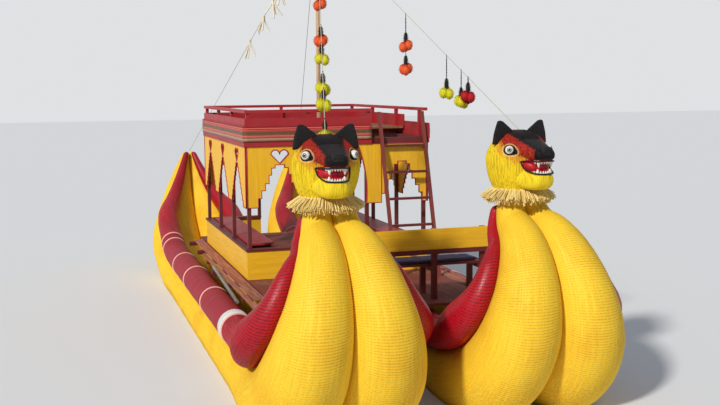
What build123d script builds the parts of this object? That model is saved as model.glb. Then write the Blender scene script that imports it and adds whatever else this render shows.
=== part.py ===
from build123d import *
import math
import os

# A double-hulled boat of lashed reeds with a wooden cabin and an upper deck.
# Millimetres. X runs forward, Y to port and Z up. While it is drawn, X is measured
# from the cabin's front wall and Z from the underside of the reeds; at the end every
# piece moves by one amount, so that the origin lies under the middle of the boat.

# Hulls: two reed bundles lie side by side in each, and two rolls are lashed on top
HULL_SPACING = 2140.0
BUNDLE_SEAM = 0.6
LOBE_SPREAD = 0.9
ROLL_LEAN = 24.0
ROLL_BEDDING = 10.0
BUNDLE_RADIUS = 400.0
ROLL_RADIUS = 188.0

# The axis of a hull is a straight run amidships with tangent arcs at both ends.
# Each arc, from the straight run outward: turn radius, pitch at its end in degrees,
# bundle radius there, roll radius there, and how far the roll leans outward there in
# degrees. A negative turn radius bends back down.
STRAIGHT_AFT = -3800.0
STRAIGHT_FORE = 2010.0
STERN_ARCS = [
    (3600, 33, 445, 182, 17),
    (1700, 68, 265, 108, 10),
    (2100, 88, 60, 45, 5),
]
BOW_ARCS = [
    (3350, 22, 470, 178, 34),
    (1165, 65, 422, 210, 49),
    (790, 127, 250, 112, 58),
    (640, 160, 182, 82, 60),
    (-290, 90, 135, 46, 22),
]
# How far each neck bends sideways from the height where it starts to narrow
NECK_SWAY = {-1: 0.0, 1: -80.0}
SWAY_FOOT = 1200.0
STATION_STEP = 10.0

# Deck
BEARER_WIDTH = 90.0
BEARER_DEPTH = 60.0
BEARER_SEAT = 0.4
BEARER_PLACES = (-3740, -2830, -1920, -1010, -100, 800, 1690)
BEARER_REACH = 1488.0
POLE_BEARER = -1010
POLE_REST = 1560.0
DECK_THICKNESS = 35.0
DECK_AFT = -4050.0
DECK_FORE = 2100.0
DECK_HALF_WIDTH = 1250.0
PLANK_WIDTH = 200.0
PLANK_GAP = 6.0

# Cabin, heights measured from the deck
CABIN_LENGTH = 3370.0
CABIN_HALF_WIDTH = 1250.0
SKIRT_HEIGHT = 370.0
SKIRT_THICKNESS = 40.0
CAP_THICKNESS = 32.0
CAP_WIDTH = 95.0
CAP_OVERHANG = 15.0
POST_SIZE = 48.0
PANEL_THICKNESS = 20.0
PANEL_BOTTOM = 940.0
FASCIA_BOTTOM = 1730.0
FASCIA_TOP = 1995.0
FASCIA_THICKNESS = 20.0
DOOR_HALF_WIDTH = 370.0
SIDE_BAYS = 3

# Upper deck
PLATE_DEPTH = 80.0
JOIST_DEPTH = 80.0
JOIST_WIDTH = 50.0
FLOOR_THICKNESS = 28.0
HATCH_LENGTH = 900.0
HATCH_EDGE = 450.0
KICKBOARD_TOP = 2090.0
KICKBOARD_THICKNESS = 22.0
RAIL_TOP = 2200.0
RAIL_DEPTH = 40.0
RAIL_WIDTH = 70.0
RAIL_POST = 45.0
TEXTILE_THICKNESS = 6.0
TEXTILE_BOTTOM = 1790.0
TEXTILE_TOP = 1985.0

# Ladder
LADDER_NEAR = 590.0
LADDER_FAR = 1200.0
LADDER_FOOT_X = 640.0
LADDER_TOP = 2150.0
STILE_WIDTH = 36.0
STILE_DEPTH = 62.0
RUNG_PITCH = 345.0
RUNG_FIRST = 320.0
RUNG_COUNT = 5
RUNG_THICKNESS = 30.0

# Mast and stays
MAST_X = -500.0
MAST_Y = -130.0
MAST_TOP = 4700.0
MAST_FOOT_RADIUS = 30.0
MAST_TOP_RADIUS = 22.0
STAY_RADIUS = 4.0
STAY_CLEAR = 0.3

# Bow bench, heights measured from the deck
BENCH_X = 1900.0
BENCH_STARBOARD = 1000.0
BENCH_PORT = 1250.0
BACKREST_PORT = 1370.0
BENCH_POST_PLACES = (-965, -350, 600, 1215)
BENCH_POST = 60.0
BENCH_SEAT_TOP = 420.0
BENCH_SEAT_DEPTH = 400.0
BENCH_SEAT_THICKNESS = 30.0
BACKREST_BOTTOM = 600.0
BACKREST_TOP = 840.0
BACKREST_THICKNESS = 24.0
CUSHION_THICKNESS = 50.0

# Heads
HEAD_SEAT = 0.3
HEAD_TURN = {"starboard": -2.0, "port": 8.0}
HEAD_SWAY = -35.0
HEAD_HEIGHT = 720.0
HEAD_RADIUS = 330.0
HEAD_WIDEST = 420.0
TEMPLE_RADIUS = 220.0
NECK_RADIUS = 245.0
NECK_HEIGHT = 110.0
COLLAR_THICKNESS = 16.0
# Rings of the collar's inside: height from the foot of the head, half length, half width
COLLAR_RINGS = [
    (-90, 312, 388),
    (0, 280, 342),
    (NECK_HEIGHT, NECK_RADIUS + HEAD_SEAT, NECK_RADIUS + HEAD_SEAT),
]

SIDES = {"starboard": -1, "port": 1}


def slab(x_range, y_range, z_range):
    """A box between two limits along each axis."""
    spans = (x_range, y_range, z_range)
    sizes = [abs(high - low) for low, high in spans]
    middle = [(low + high) / 2 for low, high in spans]
    return Pos(*middle) * Box(*sizes)


def both_sides(shape):
    """The shape and its mirror image across the middle of the boat."""
    return [shape, mirror(shape, about=Plane.XZ)]


def round_bar(start, end, radius):
    """A straight round bar between two points."""
    run = Vector(*end) - Vector(*start)
    return Plane(origin=start, z_dir=run) * Cylinder(
        radius, run.length, align=(Align.CENTER, Align.CENTER, Align.MIN))


# Hulls

def arc_stations(start_x, direction, arcs):
    """Stations along the arcs of one end: x, height, pitch, both radii and the roll's lean."""
    x, height, pitch = start_x, BUNDLE_RADIUS, 0.0
    bundle, roll, lean = BUNDLE_RADIUS, ROLL_RADIUS, ROLL_LEAN
    stations = []
    for turn, end_pitch, end_bundle, end_roll, end_lean in arcs:
        steps = max(2, round(abs(end_pitch - pitch) / STATION_STEP))
        first, last = math.radians(pitch), math.radians(end_pitch)
        for step in range(1, steps + 1):
            share = step / steps
            slope = first + (last - first) * share
            stations.append((
                x + direction * turn * (math.sin(slope) - math.sin(first)),
                height + turn * (math.cos(first) - math.cos(slope)),
                direction * math.degrees(slope),
                bundle + (end_bundle - bundle) * share,
                roll + (end_roll - roll) * share,
                lean + (end_lean - lean) * share,
            ))
        x, height = stations[-1][:2]
        pitch, bundle, roll, lean = end_pitch, end_bundle, end_roll, end_lean
    return stations


HULL_STATIONS = (
    arc_stations(STRAIGHT_AFT, -1, STERN_ARCS)[::-1]
    + [
        (STRAIGHT_AFT, BUNDLE_RADIUS, 0.0, BUNDLE_RADIUS, ROLL_RADIUS, ROLL_LEAN),
        (STRAIGHT_FORE, BUNDLE_RADIUS, 0.0, BUNDLE_RADIUS, ROLL_RADIUS, ROLL_LEAN),
    ]
    + arc_stations(STRAIGHT_FORE, 1, BOW_ARCS)
)
STERN_TIP = HULL_STATIONS[0]
NECK = HULL_STATIONS[-1]
ROLL_STATIONS = HULL_STATIONS[:-1]


def hull_y(x, height, side):
    """The middle of one hull at a station, with the sideways bend of its neck."""
    share = (height - SWAY_FOOT) / (NECK[1] - SWAY_FOOT)
    sway = NECK_SWAY[side] * max(0.0, share) if x > 0 else 0.0
    return side * HULL_SPACING / 2 + sway


def station_plane(station, side):
    """The cross-section plane of one hull: its x runs to port, its y to the hollow of the curve."""
    x, height, pitch = station[:3]
    slope = math.radians(pitch)
    return Plane(
        origin=(x, hull_y(x, height, side), height),
        x_dir=(0, 1, 0),
        z_dir=(math.cos(slope), 0, math.sin(slope)),
    )


def lobe_section(station, side, lobe):
    """A round bundle with a flat where it is lashed against its twin."""
    radius = station[3]
    flat = lobe * BUNDLE_SEAM / 2
    half_flat = radius * math.sqrt(1 - LOBE_SPREAD ** 2)
    far = flat + lobe * radius * (1 + LOBE_SPREAD)
    outline = Curve() + [
        ThreePointArc((flat, half_flat), (far, 0), (flat, -half_flat)),
        Line((flat, -half_flat), (flat, half_flat)),
    ]
    return station_plane(station, side) * make_face(outline.edges())


def roll_section(station, side, lobe):
    """The round roll that rides on a bundle, leaning outward from its top."""
    radius, roll_radius = station[3:5]
    lean = math.radians(station[5])
    reach = radius + roll_radius - ROLL_BEDDING
    across = lobe * (BUNDLE_SEAM / 2 + LOBE_SPREAD * radius + reach * math.sin(lean))
    return station_plane(station, side) * Pos(across, reach * math.cos(lean)) * Circle(roll_radius)


def bundle(side, lobe):
    """One reed bundle of a hull, drawn from the stern tip to the neck."""
    return loft([lobe_section(station, side, lobe) for station in HULL_STATIONS], ruled=True)


def roll(side, lobe):
    """The roll on one bundle, joined from one short length after another."""
    sections = [roll_section(station, side, lobe) for station in ROLL_STATIONS]
    return Part() + [loft(pair, ruled=True) for pair in zip(sections, sections[1:])]


ROLL_TOP = (
    BUNDLE_RADIUS
    + (BUNDLE_RADIUS + ROLL_RADIUS - ROLL_BEDDING) * math.cos(math.radians(ROLL_LEAN))
    + ROLL_RADIUS
)
BEARER_BOTTOM = ROLL_TOP + BEARER_SEAT
BEARER_TOP = BEARER_BOTTOM + BEARER_DEPTH
DECK = BEARER_TOP + DECK_THICKNESS
OUTER_ROLL_Y = (
    HULL_SPACING / 2
    + BUNDLE_SEAM / 2
    + LOBE_SPREAD * BUNDLE_RADIUS
    + (BUNDLE_RADIUS + ROLL_RADIUS - ROLL_BEDDING) * math.sin(math.radians(ROLL_LEAN))
)
FLOOR_BOTTOM = FASCIA_BOTTOM + PLATE_DEPTH + JOIST_DEPTH
FLOOR_TOP = FLOOR_BOTTOM + FLOOR_THICKNESS
POST_OUTSIDE = CABIN_HALF_WIDTH - PANEL_THICKNESS
CAP_TOP = SKIRT_HEIGHT + CAP_THICKNESS


def above_deck(low, high):
    """A range of heights given from the deck."""
    return (DECK + low, DECK + high)


# Deck

def deck_bearers():
    """Square timbers across both hulls, on the inner rolls; one reaches out under the pole."""
    bearers = []
    for x in BEARER_PLACES:
        starboard = POLE_REST if x == POLE_BEARER else BEARER_REACH
        bearers.append(slab((x - BEARER_WIDTH / 2, x + BEARER_WIDTH / 2), (-starboard, BEARER_REACH),
                            (BEARER_BOTTOM, BEARER_TOP)))
    return bearers


def deck_planks():
    """Planks laid fore and aft over the bearers."""
    count = round(2 * DECK_HALF_WIDTH / PLANK_WIDTH)
    pitch = (2 * DECK_HALF_WIDTH + PLANK_GAP) / count
    planks = []
    for number in range(count):
        edge = -DECK_HALF_WIDTH + number * pitch
        planks.append(slab((DECK_AFT, DECK_FORE), (edge, edge + pitch - PLANK_GAP), (BEARER_TOP, DECK)))
    return planks


# Each side plank: distance from the middle to its inner edge, width, aft end, fore end
SIDE_PLANKS = [
    (1275, 125, -3700, 1100),
    (1440, 48, -2300, 1850),
]


def side_planks():
    """Narrow planks along the outside of the cabin."""
    planks = []
    for inner, width, aft, fore in SIDE_PLANKS:
        plank = slab((aft, fore), (inner, inner + width), (BEARER_TOP, DECK))
        planks += both_sides(plank)
    return planks


POLE_RADIUS = 24.0
POLE_AFT = -1120.0
POLE_FORE = 640.0
POLE_CLEAR = 0.5


def boat_pole():
    """The short grey pole outside the starboard planks, one end on a bearer, the other on the roll."""
    y = BEARER_REACH + POLE_RADIUS + POLE_CLEAR
    roll_height = ROLL_TOP - ROLL_RADIUS
    reach = ROLL_RADIUS + POLE_RADIUS + POLE_CLEAR
    low = roll_height + math.sqrt(reach ** 2 - (OUTER_ROLL_Y - y) ** 2)
    rest = BEARER_TOP + POLE_RADIUS + POLE_CLEAR
    slope = (rest - low) / (POLE_BEARER + BEARER_WIDTH / 2 - POLE_FORE)
    high = low + slope * (POLE_AFT - POLE_FORE)
    return round_bar((POLE_AFT, -y, high + 1), (POLE_FORE, -y, low + 1), POLE_RADIUS)


# Cabin walls

def side_skirt(side):
    """The low boarded wall along one side."""
    inner, outer = CABIN_HALF_WIDTH - SKIRT_THICKNESS, CABIN_HALF_WIDTH
    return slab((-CABIN_LENGTH, 0), (side * inner, side * outer), above_deck(0, SKIRT_HEIGHT))


def end_skirt(wall_x, inward):
    """The low boarded walls either side of a doorway."""
    x_range = (wall_x, wall_x + inward * SKIRT_THICKNESS)
    y_range = (DOOR_HALF_WIDTH, CABIN_HALF_WIDTH - SKIRT_THICKNESS)
    return both_sides(slab(x_range, y_range, above_deck(0, SKIRT_HEIGHT)))


def skirt_caps():
    """The flat rails on top of the low walls."""
    low, high = CABIN_HALF_WIDTH + CAP_OVERHANG - CAP_WIDTH, CABIN_HALF_WIDTH + CAP_OVERHANG
    heights = above_deck(SKIRT_HEIGHT, CAP_TOP)
    ends = (-CABIN_LENGTH - CAP_OVERHANG, CAP_OVERHANG)
    caps = both_sides(slab(ends, (low, high), heights))
    for outer, inward in ((CAP_OVERHANG, -1), (-CABIN_LENGTH - CAP_OVERHANG, 1)):
        caps += both_sides(slab((outer, outer + inward * CAP_WIDTH), (DOOR_HALF_WIDTH, low), heights))
    return caps


def post(x, y, low, high, size=POST_SIZE):
    """An upright square post centred on a point."""
    half = size / 2
    return slab((x - half, x + half), (y - half, y + half), above_deck(low, high))


def side_post_places():
    """The distances along the boat at which the side posts stand."""
    first = -PANEL_THICKNESS - POST_SIZE / 2
    last = -CABIN_LENGTH + PANEL_THICKNESS + POST_SIZE / 2
    return [first + (last - first) * number / SIDE_BAYS for number in range(SIDE_BAYS + 1)]


def cabin_posts():
    """Side posts, and the posts that frame the two doorways."""
    side_y = POST_OUTSIDE - POST_SIZE / 2
    places = side_post_places()
    posts = []
    for x in places:
        posts += both_sides(post(x, side_y, CAP_TOP, FASCIA_BOTTOM))
    for x in (places[0], places[-1]):
        posts += both_sides(post(x, DOOR_HALF_WIDTH + POST_SIZE / 2, CAP_TOP, FASCIA_BOTTOM))
    return posts


# Stepped opening under a heart, in the end and side panels: foot of each step, half width
STEPS = [(PANEL_BOTTOM, 290), (1060, 245), (1160, 195), (1250, 145), (1360, 110), (1450, 62)]
SIDE_STEPS = [
    (PANEL_BOTTOM, 400), (1020, 350), (1095, 300), (1165, 255), (1230, 210), (1300, 160), (1365, 115), (1430, 65),
]
STEPS_TOP = 1490.0
HEART_WIDTH = 230.0
HEART_HEIGHT = 175.0
HEART_FOOT = 1508.0


def stepped_opening(middle, step_table):
    """The steps of one opening, each a plain rectangle."""
    tops = [foot for foot, half in step_table[1:]] + [STEPS_TOP]
    return [
        Pos(middle, (foot + top) / 2) * Rectangle(2 * half, top - foot)
        for (foot, half), top in zip(step_table, tops)
    ]


def heart(middle):
    """A heart of two half rounds over a point."""
    lobe = HEART_WIDTH / 4
    shoulder = HEART_FOOT + HEART_HEIGHT - lobe
    outline = Curve() + [
        Line((middle, HEART_FOOT), (middle - 2 * lobe, shoulder)),
        ThreePointArc((middle - 2 * lobe, shoulder), (middle - lobe, shoulder + lobe), (middle, shoulder)),
        ThreePointArc((middle, shoulder), (middle + lobe, shoulder + lobe), (middle + 2 * lobe, shoulder)),
        Line((middle + 2 * lobe, shoulder), (middle, HEART_FOOT)),
    ]
    return make_face(outline.edges())


def panel_sheet(low, high):
    """A flat panel between two limits, from its foot to the fascia."""
    return Pos((low + high) / 2, (PANEL_BOTTOM + FASCIA_BOTTOM) / 2) * Rectangle(
        high - low, FASCIA_BOTTOM - PANEL_BOTTOM)


def side_panel(side):
    """The upper panel along one side, with a heart and a stepped opening in each bay."""
    posts = side_post_places()
    sheet = panel_sheet(-CABIN_LENGTH, 0)
    for fore, aft in zip(posts, posts[1:]):
        middle = (fore + aft) / 2
        sheet -= stepped_opening(middle, SIDE_STEPS) + [heart(middle)]
    plane = Plane(origin=(0, side * POST_OUTSIDE, DECK), x_dir=(1, 0, 0), z_dir=(0, -1, 0))
    return extrude(plane * sheet, amount=-side * PANEL_THICKNESS)


def stepped_panel(wall_x, outward, middle_side):
    """An end panel with a heart above a stepped opening."""
    inner, outer = DOOR_HALF_WIDTH, CABIN_HALF_WIDTH - PANEL_THICKNESS
    middle = (inner + outer) / 2
    sheet = panel_sheet(inner, outer) - (stepped_opening(middle, STEPS) + [heart(middle)])
    plane = Plane(origin=(wall_x, 0, DECK), x_dir=(0, 1, 0), z_dir=(1, 0, 0))
    panel = extrude(plane * sheet, amount=-outward * PANEL_THICKNESS)
    return panel if middle_side > 0 else mirror(panel, about=Plane.XZ)


DOOR_PANEL_TOP_WIDTH = 330.0
DOOR_PANEL_FOOT_WIDTH = 215.0
LADDER_OPENING_Y = 880.0


def ladder_panel():
    """The front panel behind the ladder, with a stepped opening."""
    outer = CABIN_HALF_WIDTH - PANEL_THICKNESS
    sheet = panel_sheet(HATCH_EDGE + 140, outer) - stepped_opening(LADDER_OPENING_Y, STEPS)
    plane = Plane(origin=(0, 0, DECK), x_dir=(0, 1, 0), z_dir=(1, 0, 0))
    return extrude(plane * sheet, amount=-PANEL_THICKNESS)


def curved_door_panel():
    """The front panel beside the ladder: its edge to the doorway is one long curve."""
    outer = HATCH_EDGE + 139.5
    low, high = PANEL_BOTTOM, FASCIA_BOTTOM
    top_edge = outer - DOOR_PANEL_TOP_WIDTH
    foot_edge = outer - DOOR_PANEL_FOOT_WIDTH
    outline = Curve() + [
        Line((foot_edge, low), (outer, low)),
        Line((outer, low), (outer, high)),
        Line((outer, high), (top_edge, high)),
        ThreePointArc((top_edge, high), (foot_edge - 20, (low + high) / 2 + 60), (foot_edge, low)),
    ]
    plane = Plane(origin=(0, 0, DECK), x_dir=(0, 1, 0), z_dir=(1, 0, 0))
    return extrude(plane * make_face(outline.edges()), amount=-PANEL_THICKNESS)


# Upper deck

def top_plates():
    """The beams that lie on the posts round the head of the cabin."""
    outer = POST_OUTSIDE
    inner = outer - POST_SIZE
    heights = above_deck(FASCIA_BOTTOM, FASCIA_BOTTOM + PLATE_DEPTH)
    ends = (-CABIN_LENGTH + PANEL_THICKNESS, -PANEL_THICKNESS)
    plates = both_sides(slab(ends, (inner, outer), heights))
    for x in (ends[1], ends[0] + POST_SIZE):
        plates.append(slab((x - POST_SIZE, x), (-inner, inner), heights))
    return plates


def joists():
    """The beams across the cabin that carry the upper floor, short beside the hatch."""
    heights = above_deck(FASCIA_BOTTOM + PLATE_DEPTH, FLOOR_BOTTOM)
    reach = POST_OUTSIDE
    aft = -CABIN_LENGTH + PANEL_THICKNESS + JOIST_WIDTH / 2
    fore = -PANEL_THICKNESS - JOIST_WIDTH / 2
    count = 7
    beams = []
    for number in range(count):
        x = aft + (fore - aft) * number / (count - 1)
        port_end = HATCH_EDGE if x > -HATCH_LENGTH else reach
        beams.append(slab((x - JOIST_WIDTH / 2, x + JOIST_WIDTH / 2), (-reach, port_end), heights))
    return beams


def upper_floor():
    """The boards of the upper deck, cut away over the ladder."""
    reach = POST_OUTSIDE
    floor = slab((-CABIN_LENGTH + PANEL_THICKNESS, -PANEL_THICKNESS), (-reach, reach),
                 above_deck(FLOOR_BOTTOM, FLOOR_TOP))
    hatch = slab((-HATCH_LENGTH, 0), (HATCH_EDGE, reach + 1), above_deck(FLOOR_BOTTOM - 1, FLOOR_TOP + 1))
    return floor - hatch


def fascia_ranges(bottom, top, thickness, standing_off):
    """The four boards round the upper deck: the front one stops at the ladder."""
    inner = CABIN_HALF_WIDTH + standing_off
    outer = inner + thickness
    front = standing_off
    back = -CABIN_LENGTH - standing_off
    heights = above_deck(bottom, top)
    return {
        "front": slab((front, front + thickness), (-inner, HATCH_EDGE), heights),
        "rear": slab((back - thickness, back), (-inner, inner), heights),
        "starboard": slab((back - thickness, front + thickness), (-outer, -inner), heights),
        "port": slab((back - thickness, front + thickness), (inner, outer), heights),
    }


LADDER_POST_SETBACK = 140.0


def rail_post_places():
    """Places of the upper rail's posts: corners, thirds of the sides and the hatch."""
    half = RAIL_POST / 2
    side = CABIN_HALF_WIDTH - KICKBOARD_THICKNESS - half
    fore = -KICKBOARD_THICKNESS - half
    aft = -CABIN_LENGTH + KICKBOARD_THICKNESS + half
    places = []
    for number in range(SIDE_BAYS + 1):
        x = fore + (aft - fore) * number / SIDE_BAYS
        places.append((x, -side))
        places.append((x if number else x - LADDER_POST_SETBACK, side))
    places += [(fore, HATCH_EDGE - half), (fore, -side / 3), (aft, 0.0)]
    return places


def rail_posts():
    """Short posts of the rail round the upper deck."""
    posts = []
    for x, y in rail_post_places():
        over_hatch = x > -HATCH_LENGTH and y > HATCH_EDGE
        foot = FASCIA_BOTTOM + PLATE_DEPTH if over_hatch else FLOOR_TOP
        posts.append(post(x, y, foot, RAIL_TOP - RAIL_DEPTH, RAIL_POST))
    return posts


def kickboards():
    """The low boards that stand on the upper floor just inside the fascia."""
    outer = CABIN_HALF_WIDTH
    inner = outer - KICKBOARD_THICKNESS
    heights = above_deck(FLOOR_TOP, KICKBOARD_TOP)
    back = -CABIN_LENGTH
    return [
        slab((-KICKBOARD_THICKNESS, 0), (-inner, HATCH_EDGE), heights),
        slab((back, back + KICKBOARD_THICKNESS), (-inner, inner), heights),
        slab((back, 0), (-outer, -inner), heights),
        slab((back, -HATCH_LENGTH), (inner, outer), heights),
    ]


def rail_caps():
    """The top rails: they leave the ladder's gap open at the front."""
    outer = CABIN_HALF_WIDTH
    inner = outer - RAIL_WIDTH
    heights = above_deck(RAIL_TOP - RAIL_DEPTH, RAIL_TOP)
    back = -CABIN_LENGTH
    return [
        slab((-RAIL_WIDTH, 0), (-inner, HATCH_EDGE), heights),
        slab((back, back + RAIL_WIDTH), (-inner, inner), heights),
        slab((back, 0), (-outer, -inner), heights),
        slab((back, 0), (inner, outer), heights),
    ]


# Ladder

LADDER_BACK_CLEAR = 1.0


def ladder_x(height):
    """Where the ladder's middle line lies at a height above the deck."""
    slope = LADDER_FOOT_X / LADDER_TOP
    half_depth = STILE_DEPTH / 2 * math.sqrt(1 + slope ** 2)
    return slope * (FASCIA_BOTTOM + PLATE_DEPTH - height) + half_depth + LADDER_BACK_CLEAR - PANEL_THICKNESS


def ladder_stiles():
    """The two leaning side pieces, cut level at the foot."""
    half = STILE_DEPTH / 2
    outline = Polygon(
        (ladder_x(0) - half, 0),
        (ladder_x(0) + half, 0),
        (ladder_x(LADDER_TOP) + half, LADDER_TOP),
        (ladder_x(LADDER_TOP) - half, LADDER_TOP),
        align=None,
    )
    stiles = []
    for y in (LADDER_NEAR, LADDER_FAR):
        plane = Plane(origin=(0, y + STILE_WIDTH / 2, DECK), x_dir=(1, 0, 0), z_dir=(0, -1, 0))
        stiles.append(extrude(plane * outline, amount=STILE_WIDTH))
    return stiles


def ladder_rungs():
    """Flat rungs between the stiles, evenly pitched."""
    rungs = []
    for number in range(RUNG_COUNT):
        height = RUNG_FIRST + number * RUNG_PITCH
        x = ladder_x(height)
        rungs.append(slab(
            (x - STILE_DEPTH / 2 + 4, x + STILE_DEPTH / 2 - 4),
            (LADDER_NEAR + STILE_WIDTH / 2, LADDER_FAR - STILE_WIDTH / 2),
            above_deck(height - RUNG_THICKNESS / 2, height + RUNG_THICKNESS / 2),
        ))
    return rungs


# Mast and stays

def mast():
    """A round wooden mast, stepped on the upper floor."""
    height = MAST_TOP - FLOOR_TOP
    return Pos(MAST_X, MAST_Y, DECK + FLOOR_TOP) * Cone(
        MAST_FOOT_RADIUS, MAST_TOP_RADIUS, height, align=(Align.CENTER, Align.CENTER, Align.MIN))


MAST_STEP_SIZE = 200.0
MAST_STEP_HEIGHT = 70.0


def mast_step():
    """The block that holds the foot of the mast."""
    half = MAST_STEP_SIZE / 2
    block = slab((MAST_X - half, MAST_X + half), (MAST_Y - half, MAST_Y + half),
                 above_deck(FLOOR_TOP, FLOOR_TOP + MAST_STEP_HEIGHT))
    return block - Pos(MAST_X, MAST_Y, DECK + FLOOR_TOP) * Cylinder(
        MAST_FOOT_RADIUS + 0.3, 2 * MAST_STEP_HEIGHT + 2)


STAY_HEIGHT = MAST_TOP - 60.0
HEAD_X, HEAD_BASE = NECK[0], NECK[1] + HEAD_SEAT
HEAD_TOP = HEAD_BASE + HEAD_HEIGHT


def stay(end):
    """A taut line from the side of the masthead to one end fitting."""
    level = Vector(end[0] - MAST_X, end[1] - MAST_Y, 0)
    drop = DECK + STAY_HEIGHT - end[2]
    reach = STAY_RADIUS * drop / math.hypot(level.length, drop)
    taper = (MAST_TOP - STAY_HEIGHT) / (MAST_TOP - FLOOR_TOP)
    out = MAST_TOP_RADIUS + (MAST_FOOT_RADIUS - MAST_TOP_RADIUS) * taper + STAY_CLEAR + reach
    run = level.normalized()
    start = (MAST_X + run.X * out, MAST_Y + run.Y * out, DECK + STAY_HEIGHT)
    return round_bar(start, end, STAY_RADIUS)


def forestays():
    """The two lines from the masthead to the crowns of the heads."""
    return [
        stay((HEAD_X, head_centre(name).position.Y, HEAD_TOP + STAY_RADIUS + STAY_CLEAR))
        for name in SIDES
    ]


def backstays():
    """The two lines from the masthead to the stern tips."""
    x, height = STERN_TIP[:2]
    return [
        stay((x, side * HULL_SPACING / 2, height + STAY_RADIUS + STAY_CLEAR))
        for side in SIDES.values()
    ]


# Bow bench

def bench_frame():
    """Posts, and the rails under the seat and the backrest."""
    frame = []
    rail_low = BENCH_SEAT_TOP - BENCH_SEAT_THICKNESS
    for y in BENCH_POST_PLACES:
        upright = post(BENCH_X - BENCH_POST / 2, y, 0, BACKREST_TOP, BENCH_POST)
        leg = post(BENCH_X - BENCH_SEAT_DEPTH, y, 0, rail_low, BENCH_POST)
        tie = slab((BENCH_X - BENCH_SEAT_DEPTH, BENCH_X - BENCH_POST / 2),
                   (y - BENCH_POST / 2, y + BENCH_POST / 2), above_deck(rail_low - BENCH_POST, rail_low))
        frame.append(upright + leg + tie)
    return frame


def backrest():
    """The broad board of the backrest, on the bow side of the posts."""
    return slab((BENCH_X, BENCH_X + BACKREST_THICKNESS), (-BENCH_STARBOARD, BACKREST_PORT),
                above_deck(BACKREST_BOTTOM, BACKREST_TOP))


def backrest_rail():
    """The narrow rail just under the backrest."""
    return slab((BENCH_X, BENCH_X + 40), (-BENCH_STARBOARD, BACKREST_PORT),
                above_deck(BACKREST_BOTTOM - 55, BACKREST_BOTTOM))


def bench_seat():
    """The seat board, aft of the backrest posts."""
    return slab((BENCH_X - BENCH_SEAT_DEPTH - 20, BENCH_X - BENCH_POST - 0.3),
                (-BENCH_STARBOARD, BENCH_PORT),
                above_deck(BENCH_SEAT_TOP - BENCH_SEAT_THICKNESS, BENCH_SEAT_TOP))


def bench_cushion():
    """A thin pad on the bow bench."""
    return slab((BENCH_X - BENCH_SEAT_DEPTH, BENCH_X - BENCH_POST - 10),
                (-BENCH_STARBOARD + 60, BENCH_PORT - 60),
                above_deck(BENCH_SEAT_TOP + 0.3, BENCH_SEAT_TOP + CUSHION_THICKNESS))


CABIN_SEAT_TOP = 430.0
CABIN_SEAT_DEPTH = 340.0
CABIN_SEAT_THICKNESS = 28.0


def cabin_seats():
    """Long seat boards along both sides of the cabin."""
    outer = CABIN_HALF_WIDTH + CAP_OVERHANG - CAP_WIDTH - 10
    return both_sides(slab((-CABIN_LENGTH + 300, -300), (outer - CABIN_SEAT_DEPTH, outer),
                           above_deck(CABIN_SEAT_TOP - CABIN_SEAT_THICKNESS, CABIN_SEAT_TOP)))


def cabin_seat_supports():
    """Upright boards that carry the cabin seats."""
    outer = CABIN_HALF_WIDTH - SKIRT_THICKNESS
    inner = CABIN_HALF_WIDTH + CAP_OVERHANG - CAP_WIDTH - 10 - CABIN_SEAT_DEPTH + 30
    boards = []
    for x in (-CABIN_LENGTH + 400, -CABIN_LENGTH / 2, -400):
        board = slab((x - 15, x + 15), (inner, outer - 60), above_deck(0, CABIN_SEAT_TOP - CABIN_SEAT_THICKNESS))
        boards += both_sides(board)
    return boards


# Heads

def head_centre(name):
    """The foot of a head's axis, turned the way the head looks."""
    return Pos(HEAD_X, hull_y(HEAD_X, NECK[1], SIDES[name]) + HEAD_SWAY, HEAD_BASE) * Rot(0, 0, HEAD_TURN[name])


def skull():
    """The bound reed ball of the head: jowls, round temples and a flatter crown, on tangent arcs."""
    inset = HEAD_RADIUS - TEMPLE_RADIUS
    rise = HEAD_HEIGHT - HEAD_WIDEST
    crown_radius = (inset ** 2 + rise ** 2 - TEMPLE_RADIUS ** 2) / (2 * (rise - TEMPLE_RADIUS))
    crown_centre = HEAD_HEIGHT - crown_radius
    turn = math.atan2(HEAD_WIDEST - crown_centre, inset)
    jowl_drop = HEAD_WIDEST - NECK_HEIGHT
    jowl_inset = HEAD_RADIUS - NECK_RADIUS
    jowl_radius = (jowl_drop ** 2 + jowl_inset ** 2) / (2 * jowl_inset)
    jowl_turn = math.asin(jowl_drop / jowl_radius) / 2

    def on_temple(angle):
        return (inset + TEMPLE_RADIUS * math.cos(angle), HEAD_WIDEST + TEMPLE_RADIUS * math.sin(angle))

    def on_crown(angle):
        return (crown_radius * math.cos(angle), crown_centre + crown_radius * math.sin(angle))

    jowl_middle = (
        HEAD_RADIUS - jowl_radius * (1 - math.cos(jowl_turn)),
        HEAD_WIDEST - jowl_radius * math.sin(jowl_turn),
    )
    outline = Curve() + [
        Line((0, 0), (NECK_RADIUS, 0)),
        Line((NECK_RADIUS, 0), (NECK_RADIUS, NECK_HEIGHT)),
        ThreePointArc((NECK_RADIUS, NECK_HEIGHT), jowl_middle, on_temple(0)),
        ThreePointArc(on_temple(0), on_temple(turn / 2), on_temple(turn)),
        ThreePointArc(on_temple(turn), on_crown((turn + math.pi / 2) / 2), (0, HEAD_HEIGHT)),
        Line((0, HEAD_HEIGHT), (0, 0)),
    ]
    return revolve(Plane.XZ * make_face(outline.edges()), axis=Axis.Z)


def face_loft(rows):
    """A piece of the face through rounded sections: distance ahead, height, half width, half height."""
    sections = []
    for ahead, middle, half_width, half_height in rows:
        plane = Plane(origin=(ahead, 0, middle), x_dir=(0, 1, 0), z_dir=(1, 0, 0))
        sections.append(plane * RectangleRounded(2 * half_width, 2 * half_height, half_height * 0.7))
    return loft(sections, ruled=True)


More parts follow.
